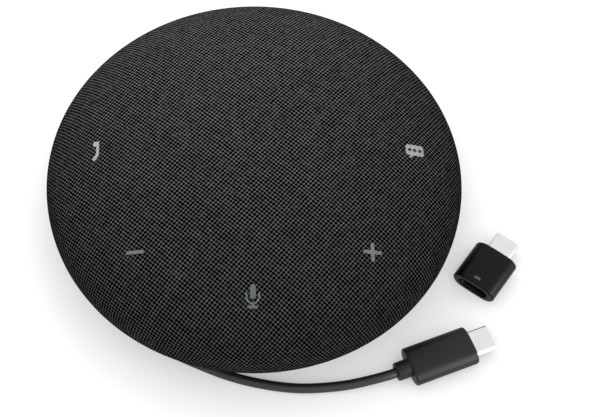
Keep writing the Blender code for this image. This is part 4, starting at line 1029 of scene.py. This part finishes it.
def callSign(x, y):  # handset with its two ends turned in
    spine = [(0.85, 2.60), (0.98, 1.12), (1.05, 0.05), (1.06, -1.02), (0.86, -1.90), (0.50, -2.60)]
    earpiece = block(x, y, 0.42, 2.52, 0.92, 0.92, 0.35)
    mouthpiece = bar(x, y, 0.66, -2.00, 0.24, -2.66, 0.66)
    return min(stroke(x, y, spine, 0.50), earpiece, mouthpiece)


def minusSign(x, y):
    return block(x, y, -0.16, 0.0, 2.62, 0.54, 0.16)


def plusSign(x, y):
    return min(block(x, y, 0.0, 0.0, 2.72, 0.53, 0.16), block(x, y, 0.0, 0.0, 0.55, 2.72, 0.16))


def microphoneSign(x, y):
    capsule = bar(x, y, -0.34, 2.62, -0.34, 0.30, 0.86)
    cup = abs(math.hypot(x + 0.38, y - 0.05) - 1.78) - 0.33 if y < 0.05 else 9.0
    arms = min(bar(x, y, -2.16, 0.05, -2.16, 1.02, 0.33), bar(x, y, 1.40, 0.05, 1.40, 1.02, 0.33))
    stem = block(x, y, -0.36, -2.00, 0.40, 0.60, 0.1)
    return min(capsule, cup, arms, stem, block(x, y, -0.36, -2.66, 1.50, 0.46, 0.25))


def bubbleSign(x, y):  # a speech bubble with three dots left open
    bubble = block(x, y, 0.25, 0.42, 2.80, 1.90, 0.95)
    tail = bar(x, y, -0.85, -1.20, -1.25, -2.25, 0.30)
    body = min(bubble, tail, bar(x, y, -0.35, -1.30, -1.25, -2.25, 0.28))
    dots = min(math.hypot(x - dot, y - 0.42) - 0.48 for dot in (-1.30, 0.25, 1.80))
    return max(body, -dots)


signs = {
    "call": callSign,
    "volume_down": minusSign,
    "mute": microphoneSign,
    "volume_up": plusSign,
    "meeting": bubbleSign,
}


def makeMark(key, sign, spec):
    middle = dips[key][1]
    cell, steps = spec["cell"], int(spec["reach"] / spec["cell"])
    turn, pitch = weave["turn"], weave["pitch"]
    inside = set()
    for i in range(-steps, steps):
        for j in range(-steps, steps):
            x, y = (i + 0.5) * cell, (j + 0.5) * cell
            # the edge gives way at the gaps of the weave and holds on to the yarns
            place = (middle.x + x / 1000, middle.y + y / 1000)
            radius = math.hypot(*place)
            mu, mv = skinMap((*place, skinHeight(radius)))
            u = (mu * math.cos(turn) - mv * math.sin(turn)) / pitch
            v = (mu * math.sin(turn) + mv * math.cos(turn)) / pitch
            gap = (math.cos(math.tau * u) + math.cos(math.tau * v)) / 2
            if sign(x, y) + spec["ragged"] * gap < 0.0:
                inside.add((i, j))
    corners = sorted({(i + a, j + b) for i, j in inside for a in (0, 1) for b in (0, 1)})
    index = {corner: n for n, corner in enumerate(corners)}
    bm = bmesh.new()
    flat = [bm.verts.new((i * cell, j * cell, 0.0)) for i, j in corners]
    for i, j in sorted(inside):
        bm.faces.new([flat[index[c]] for c in ((i, j), (i + 1, j), (i + 1, j + 1), (i, j + 1))])
    edgeVerts = [v for v in flat if v.is_boundary]
    for _ in range(6):
        bmesh.ops.smooth_vert(bm, verts=edgeVerts, factor=0.5, use_axis_x=True, use_axis_y=True)
    tops, bottoms = [], []
    for vert in flat:
        x, y = middle.x + vert.co.x / 1000, middle.y + vert.co.y / 1000
        skin = Vector((x, y, skinHeight(math.hypot(x, y))))
        normal = skinNormal(skin)
        tops.append(skin + normal * spec["lift"])
        bottoms.append(skin - normal * spec["sunk"])
    count = len(flat)
    for n, vert in enumerate(flat):
        vert.index = n
    upper = [tuple(v.index for v in face.verts) for face in bm.faces]
    walls = []
    for edge in bm.edges:
        if edge.is_boundary:
            loop = edge.link_loops[0]
            a, b = loop.vert.index, loop.link_loop_next.vert.index
            walls.append((b, a, a + count, b + count))
    bm.free()
    lower = [tuple(n + count for n in reversed(row)) for row in upper]
    piece = addPiece("sign_" + key, tops + bottoms, upper + lower + walls, inks[key], sharp=50.0)
    layer = piece.data.uv_layers.new(name="weaveMap")
    for loop in piece.data.loops:
        layer.data[loop.index].uv = skinMap(piece.data.vertices[loop.vertex_index].co)
    return piece


for key, sign in signs.items():
    edge, middle, normal = dips[key]
    mark = makeMark(key, sign, markSpec)
    raised = normal * markSpec["lift"]
    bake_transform(mark, "puck", "key_" + key + "_body", start=tuple(edge + raised), end=tuple(middle + raised))
print("signs printed:", len(signs))


# plug on the cable and the loose adapter
tipSpec = {
    "length": 0.0066,
    "width": 0.00825,
    "thick": 0.0024,
    "sheet": 0.00025,
    "seat": 0.0030,
    "lip": 0.00012,
    "slotWidth": 0.0066,
    "slotThick": 0.0007,
    "slotDepth": 0.0045,
    "carrierPlay": 0.0003,  # between the carrier and the shell
    "carrierSet": 0.0006,  # how far the carrier's end lies behind the lip
    "carrierEdge": 0.0001,
    "contactSet": 0.0009,
    "pocketPlay": 0.0004,  # round the tip, in the body
    "pocketSpare": 0.0003,
}

adapterSpec = {
    "rear": (64.37, 0.01020),
    "heading": math.radians(53.0),
    "length": 0.0141,
    "width": 0.0143,
    "thick": 0.0068,
    "corner": 0.0032,
    "crown": 0.12,
    "edge": 0.0006,
    "socketSheet": 0.0003,
    "socketDepth": 0.0068,
    "tongueRoot": 0.0020,
    "pill": (0.0022, 0.0009),
    "pillPlace": (0.0003, 0.0021),  # across, and along from the socket's face
    "pillEdge": ((0.0, -0.0003), (0.0, 0.00003), (0.00005, 0.00007), (0.00012, 0.00008)),  # inset and height
    "socketPlay": 0.0006,
    "mouthPlay": 0.0004,
    "mouthSpare": 0.0003,
    "linerSet": 0.0003,
    "linerEdge": 0.0002,
    "tongueGap": 0.0006,
    "tongueEdge": 0.0003,
    "rootSpare": 0.0001,
    "contactPlace": 0.55,  # share of a contact's length from the tongue's edge to its middle
}


def bodyRings(place, spec, steps=10):  # a rounded block with both end edges rounded
    rings, edge = [], spec["edge"]
    for i in range(steps + 1):
        a = math.pi / 2 * i / steps
        rings.append((edge * (1.0 - math.cos(a)), edge * (1.0 - math.sin(a))))
    rings += [(spec["length"] - z, inset) for z, inset in reversed(rings)]
    width, thick, corner = spec["width"], spec["thick"], spec["corner"]
    return [
        outlineRing(place, width - 2 * inset, thick - 2 * inset, corner - inset / 2, z, spec["crown"])
        for z, inset in rings
    ]


def makeTip(prefix, place, face, spec):  # metal shell with a rounded lip, and the contact carrier in it
    back, tip = face - spec["seat"], face + spec["length"]
    width, thick, sheet, lip = spec["width"], spec["thick"], spec["sheet"], spec["lip"]
    rows = [(0.0, back), (0.0, tip - lip)]
    for i in range(1, 7):
        a = math.pi * i / 7
        rows.append((sheet / 2 * (1.0 - math.cos(a)), tip - lip * (1.0 - math.sin(a))))
    rows += [(sheet, tip - lip), (sheet, back)]
    shell = loft(prefix + "_metal", insetRings(place, width, thick, rows), finish["tipMetal"], wrap=True)
    inset, edge = sheet + spec["carrierPlay"] / 2, spec["carrierEdge"]
    end = tip - spec["carrierSet"]
    rings = insetRings(place, width, thick, [(inset, back), (inset, end - edge), (inset + edge, end)])
    rows = [(-edge / 2, end), (0.0, end - edge), (0.0, tip - spec["slotDepth"])]
    rings += insetRings(place, spec["slotWidth"], spec["slotThick"], rows)
    return shell, loft(prefix + "_carrier", rings, finish["resinBlack"])


contactSpec = {
    "count": 12,  # in each of two rows, one over the other
    "pitch": 0.0005,
    "width": 0.00026,
    "length": 0.0030,
    "thick": 0.00010,
}


def makeContactTree(material):  # two rows of thin pads, standing off from the middle by half the row gap
    takes = [("Count", intSocket), ("Pitch", floatSocket), ("Row Gap", floatSocket)]
    takes += [("Pad Size", vectorSocket), ("Middle", floatSocket)]
    tree, given, made = newGeometryTree("contactRows", takes)
    pad = addNode(tree, "GeometryNodeMeshCube", {"Size": given["Pad Size"]})
    span = calc(tree, "MULTIPLY", given["Pitch"], calc(tree, "SUBTRACT", given["Count"], 1.0))
    step = addNode(tree, "ShaderNodeCombineXYZ", {0: given["Pitch"]})
    rows = addNode(tree, "GeometryNodeJoinGeometry")
    for side in (-0.5, 0.5):
        start = addNode(tree, "ShaderNodeCombineXYZ", {
            0: calc(tree, "MULTIPLY", span, -0.5),
            1: calc(tree, "MULTIPLY", given["Row Gap"], side),
            2: given["Middle"],
        })
        inputs = {"Count": given["Count"], "Start Location": start.outputs[0], "Offset": step.outputs[0]}
        line = addNode(tree, "GeometryNodeMeshLine", inputs)
        inputs = {"Points": line.outputs[0], "Instance": pad.outputs[0]}
        row = addNode(tree, "GeometryNodeInstanceOnPoints", inputs)
        tree.links.new(row.outputs[0], rows.inputs[0])
    paintTree(tree, made, rows.outputs[0], material)
    return tree


contactTree = makeContactTree(finish["contactGold"])


def makeContacts(name, place, rowGap, middle, spec):
    mesh = grown(name, contactTree, {
        "Count": spec["count"], "Pitch": spec["pitch"], "Row Gap": rowGap, "Middle": middle,
        "Pad Size": (spec["width"], spec["thick"], spec["length"]),
    })
    mesh.transform(place)
    return linked(name, mesh)


def tipContacts(name, place, face, spec):  # on both walls of the carrier's slot
    middle = face + spec["length"] - spec["contactSet"] - contactSpec["length"] / 2
    return makeContacts(name, place, spec["slotThick"], middle, contactSpec)


def pocketRings(place, tip, face):  # from the front face to the floor of the pocket that the tip sits in
    inset = -tip["pocketPlay"] / 2
    floor = face - tip["seat"] - tip["pocketSpare"]
    return insetRings(place, tip["width"], tip["thick"], [(inset, face), (inset, floor)])


def makePlug(spec, tip):
    place = plugFrame(spec)
    rings = bodyRings(place, spec) + pocketRings(place, tip, spec["length"])
    body = loft("plug_body", rings, finish["plugBlack"], sharp=30.0)
    radius, rear, sunk = spec["collarRadius"], -spec["collarLength"], spec["collarSunk"]
    bore = cordSpec["diameter"] / 2 + spec["collarPlay"]
    profile = [(bore, sunk), (bore, rear)] + [(radius + dr, rear + dz) for dr, dz in spec["collarEdge"]]
    profile.append((radius + spec["collarFlare"], sunk))
    turns = [math.tau * i / spec["collarSteps"] for i in range(spec["collarSteps"])]
    rings = [[place @ Vector((r * math.cos(a), r * math.sin(a), z)) for a in turns] for r, z in profile]
    collar = loft("plug_collar", rings, finish["plugBlack"], wrap=True, sharp=50.0)
    body = merge("plug_body", body, collar)
    shell, carrier = makeTip("plug", place, spec["length"], tip)
    return body, shell, carrier, tipContacts("plug_contacts", place, spec["length"], tip)


plugBody, plugMetal, plugCarrier, plugContacts = makePlug(plugSpec, tipSpec)
settle(plugBody, "puck", "black_abs", "plug_overmould")
settle(plugMetal, "puck", "steel", "plug_shell")
settle(plugCarrier, "puck", "chip_resin", "plug_insert")
settle(plugContacts, "puck", "copper")


def makeAdapter(spec, tip):
    place = plugFrame(spec)
    depth, sheet = spec["socketDepth"], spec["socketSheet"]
    inner = (tip["width"] + spec["socketPlay"], tip["thick"] + spec["socketPlay"])
    mouth = -sheet - spec["mouthPlay"] / 2
    rings = insetRings(place, *inner, [(mouth, depth + spec["mouthSpare"]), (mouth, 0.0)])
    rings += bodyRings(place, spec) + pocketRings(place, tip, spec["length"])
    body = loft("adapter_case", rings, finish["adapterBlack"], sharp=30.0)
    lip, edge = spec["linerSet"], spec["linerEdge"]
    rows = [(-sheet, depth), (-sheet, lip + edge), (edge / 2 - sheet, lip)]
    rows += [(-edge / 2, lip), (0.0, lip + edge), (0.0, depth)]
    # painted shade: the liner takes the near-black socket metal
    liner = loft("adapter_liner", insetRings(place, *inner, rows), finish["socketShadeMetal"], wrap=True)
    low, root = depth - tip["slotDepth"], depth - spec["tongueRoot"]
    gap, edge = spec["tongueGap"], spec["tongueEdge"]
    rows = [(edge / 2, low), (0.0, low + edge), (0.0, root)]
    rings = insetRings(place, tip["slotWidth"] - gap, tip["slotThick"], rows)
    rings += insetRings(place, *inner, [(gap / 2, root), (gap / 2, depth + spec["rootSpare"])])
    tongue = loft("adapter_blade", rings, finish["resinBlack"], sharp=30.0)
    shell, carrier = makeTip("adapter", place, spec["length"], tip)
    # pale window on the upper face
    across, along = spec["pillPlace"]
    turn = Matrix.Translation((across, spec["thick"] / 2, along)) @ Matrix.Rotation(-math.pi / 2, 4, "X")
    rings = insetRings(place @ turn, *spec["pill"], spec["pillEdge"])
    window = loft("adapter_window", rings, finish["windowGrey"], sharp=60.0)
    outer = tipContacts("adapter_tip_contacts", place, spec["length"], tip)
    middle = low + edge + spec["contactPlace"] * contactSpec["length"]
    inside = makeContacts("adapter_contacts", place, tip["slotThick"], middle, contactSpec)
    return body, liner, tongue, shell, carrier, window, merge("adapter_contacts", inside, outer)


adapterPlaces = (  # each piece's finish, and the node it stands for
    ("black_abs", "adapter_body"),
    ("steel", "adapter_socket"),
    ("chip_resin", "adapter_tongue"),
    ("steel", "adapter_plug_shell"),
    ("chip_resin", "adapter_plug_insert"),
    ("grey_abs",),
    ("copper",),
)
for piece, place in zip(makeAdapter(adapterSpec, tipSpec), adapterPlaces):
    settle(piece, "adapter", *place)
print("plug and adapter made")


# spool flange and pad, round and with softened edges
baseSpec = {
    "steps": 192,
    "flangeEdge": 0.0004,
    "padEdge": 0.0003,
    "clearance": 0.0003,
    "screwHead": 0.0006,
    "screwShank": 0.0012,
}


def nodeSize(node):  # radius, lower and upper height of a round node
    low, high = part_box(node)
    return (high.x - low.x) / 2, low.z, high.z


def roundedDisc(radius, low, high, edge, steps=5):
    turns = [math.pi / 2 * i / steps for i in range(steps + 1)]
    profile = [(0.0, low)]
    profile += [(radius - edge * (1.0 - math.sin(a)), low + edge * (1.0 - math.cos(a))) for a in turns]
    profile += [(radius - edge * (1.0 - math.cos(a)), high - edge * (1.0 - math.sin(a))) for a in turns]
    return profile + [(0.0, high)]


def makeFlange(spec):
    radius, low, high = nodeSize("base_plate")
    profile = roundedDisc(radius, low, high, spec["flangeEdge"])
    flange = turned("spool_flange", profile, spec["steps"], finish["housingBlack"])
    ways = []
    for i in range(1, 5):  # a stepped hole for each screw
        screwLow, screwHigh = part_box(f"base_screw_{i}")
        head = (screwHigh.x - screwLow.x) / 2 + spec["clearance"]
        shank = spec["screwShank"] + spec["clearance"]
        step = screwLow.z + spec["screwHead"] + spec["clearance"]
        profile = [(0.0, 0.0), (head, 0.0), (head, step), (shank, step), (shank, 2 * high), (0.0, 2 * high)]
        way = turned("way", profile, 40, finish["housingBlack"])
        middle = (screwLow + screwHigh) / 2
        way.data.transform(Matrix.Translation((middle.x, middle.y, 0.0)))
        ways.append(way)
    cut = flange.modifiers.new("ways", "BOOLEAN")
    cut.operation = "DIFFERENCE"
    cut.object = merge("ways", *ways)
    mesh = bpy.data.meshes.new_from_object(flange.evaluated_get(bpy.context.evaluated_depsgraph_get()))
    flange.modifiers.remove(cut)
    bpy.data.objects.remove(ways[0])
    flange.data = mesh
    smoothShade(mesh)
    return flange


def makePad(spec):
    profile = roundedDisc(*nodeSize("base_pad"), spec["padEdge"])
    return turned("spool_pad", profile, spec["steps"], finish["padRubber"])


settle(makeFlange(baseSpec), "puck", "black_abs", "base_plate")
settle(makePad(baseSpec), "puck", "black_rubber", "base_pad")
print("spool flange and pad made")


# the two soft rings that hold the cone, fast to the basket outside and to the cone inside
ringSpec = {
    "steps": 96,
    "rollFoot": 0.0020,
    "rollWidth": 0.0031,
    "rollLip": 0.0014,
    "rollWall": 0.0006,
    "spiderWall": 0.0004,
    "spiderWave": 0.0005,
    "spiderWaves": 2,
    "coilGap": 0.0003,
    "points": 24,
}


def makeRoll(spec):
    outer, low, _ = nodeSize("driver_surround")
    begin = outer - spec["rollFoot"]
    end = begin - spec["rollWidth"]
    middle, half, wall = (begin + end) / 2, spec["rollWidth"] / 2, spec["rollWall"]
    under, over = [(outer, low)], [(outer, low + wall)]
    for i in range(spec["points"] + 1):
        a = math.pi * i / spec["points"]
        under.append((middle + (half - wall / 2) * math.cos(a), low + (half - wall / 2) * math.sin(a)))
        top = low + wall * (1.0 - math.sin(a) / 2) + half * math.sin(a)
        over.append((middle + (half + wall / 2) * math.cos(a), top))
    under.append((end - spec["rollLip"], low))
    over.append((end - spec["rollLip"], low + wall))
    return turned("surround_roll", over[::-1] + under, spec["steps"], finish["padRubber"]), begin, end


def makeSpider(spec):
    outer, low, _ = nodeSize("driver_spider")
    inner = nodeSize("voice_coil")[0] + spec["coilGap"]
    wall, wave = spec["spiderWall"], []
    for i in range(2 * spec["points"] + 1):
        share = i / (2 * spec["points"])
        rise = spec["spiderWave"] * (1.0 - math.cos(math.tau * spec["spiderWaves"] * share)) / 2
        wave.append((outer + (inner - outer) * share, low + rise))
    profile = [(r, z + wall) for r, z in reversed(wave)] + wave
    return turned("spider_ring", profile, spec["steps"], finish["conePulp"]), outer, inner


for made, node, slot in (
    (makeRoll(ringSpec), "driver_surround", "black_rubber"),
    (makeSpider(ringSpec), "driver_spider", "paper"),
):
    piece, begin, end = made
    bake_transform(piece, "puck", "driver_cone_body", start=(begin, 0.0, 0.0), end=(end, 0.0, 0.0))
    shares = piece.data.attributes["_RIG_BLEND"].data  # the share goes by the radius, all round
    for vertex, share in zip(piece.data.vertices, shares):
        share.value = smoothStep((begin - math.hypot(vertex.co.x, vertex.co.y)) / (begin - end))
    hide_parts(node)
print("cone rings made")


# the CAD nodes that stay take a finish by what they are made of
finishes = {
    finish["housingBlack"]: ["lower_housing", "grille_dome", "cable_hub", "speaker_chamber", "driver_basket"],
    finish["keyGrey"]: ["key_call", "key_volume_down", "key_mute", "key_volume_up", "key_meeting"],
    finish["padRubber"]: ["driver_gasket", "cable_grommet", "mic_boot_left", "mic_boot_right"],
    finish["jacketBlack"]: ["inner_lead"],
    finish["resinBlack"]: ["audio_processor", "mic_module_left", "mic_module_right"],
    finish["boardGreen"]: ["main_board"],
    finish["nylonIvory"]: ["cable_header"],
    finish["conePulp"]: ["driver_cone", "dust_cap"],
    finish["ferriteGrey"]: ["driver_magnet"],
    finish["coilCopper"]: ["voice_coil"],
    finish["screwSteel"]: ["driver_top_plate", "driver_yoke"],
}
for key in keySpec["azimuths"]:
    finishes[finish["resinBlack"]] += ["key_" + key + "_switch", "key_" + key + "_plunger"]
for i in range(1, 5):
    finishes[finish["screwSteel"]] += [f"base_screw_{i}", f"shell_screw_{i}"]
for material, names in finishes.items():
    for name in names:
        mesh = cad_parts[name].data
        mesh.materials.clear()
        mesh.materials.append(material)
print("CAD nodes finished:", sum(len(names) for names in finishes.values()))
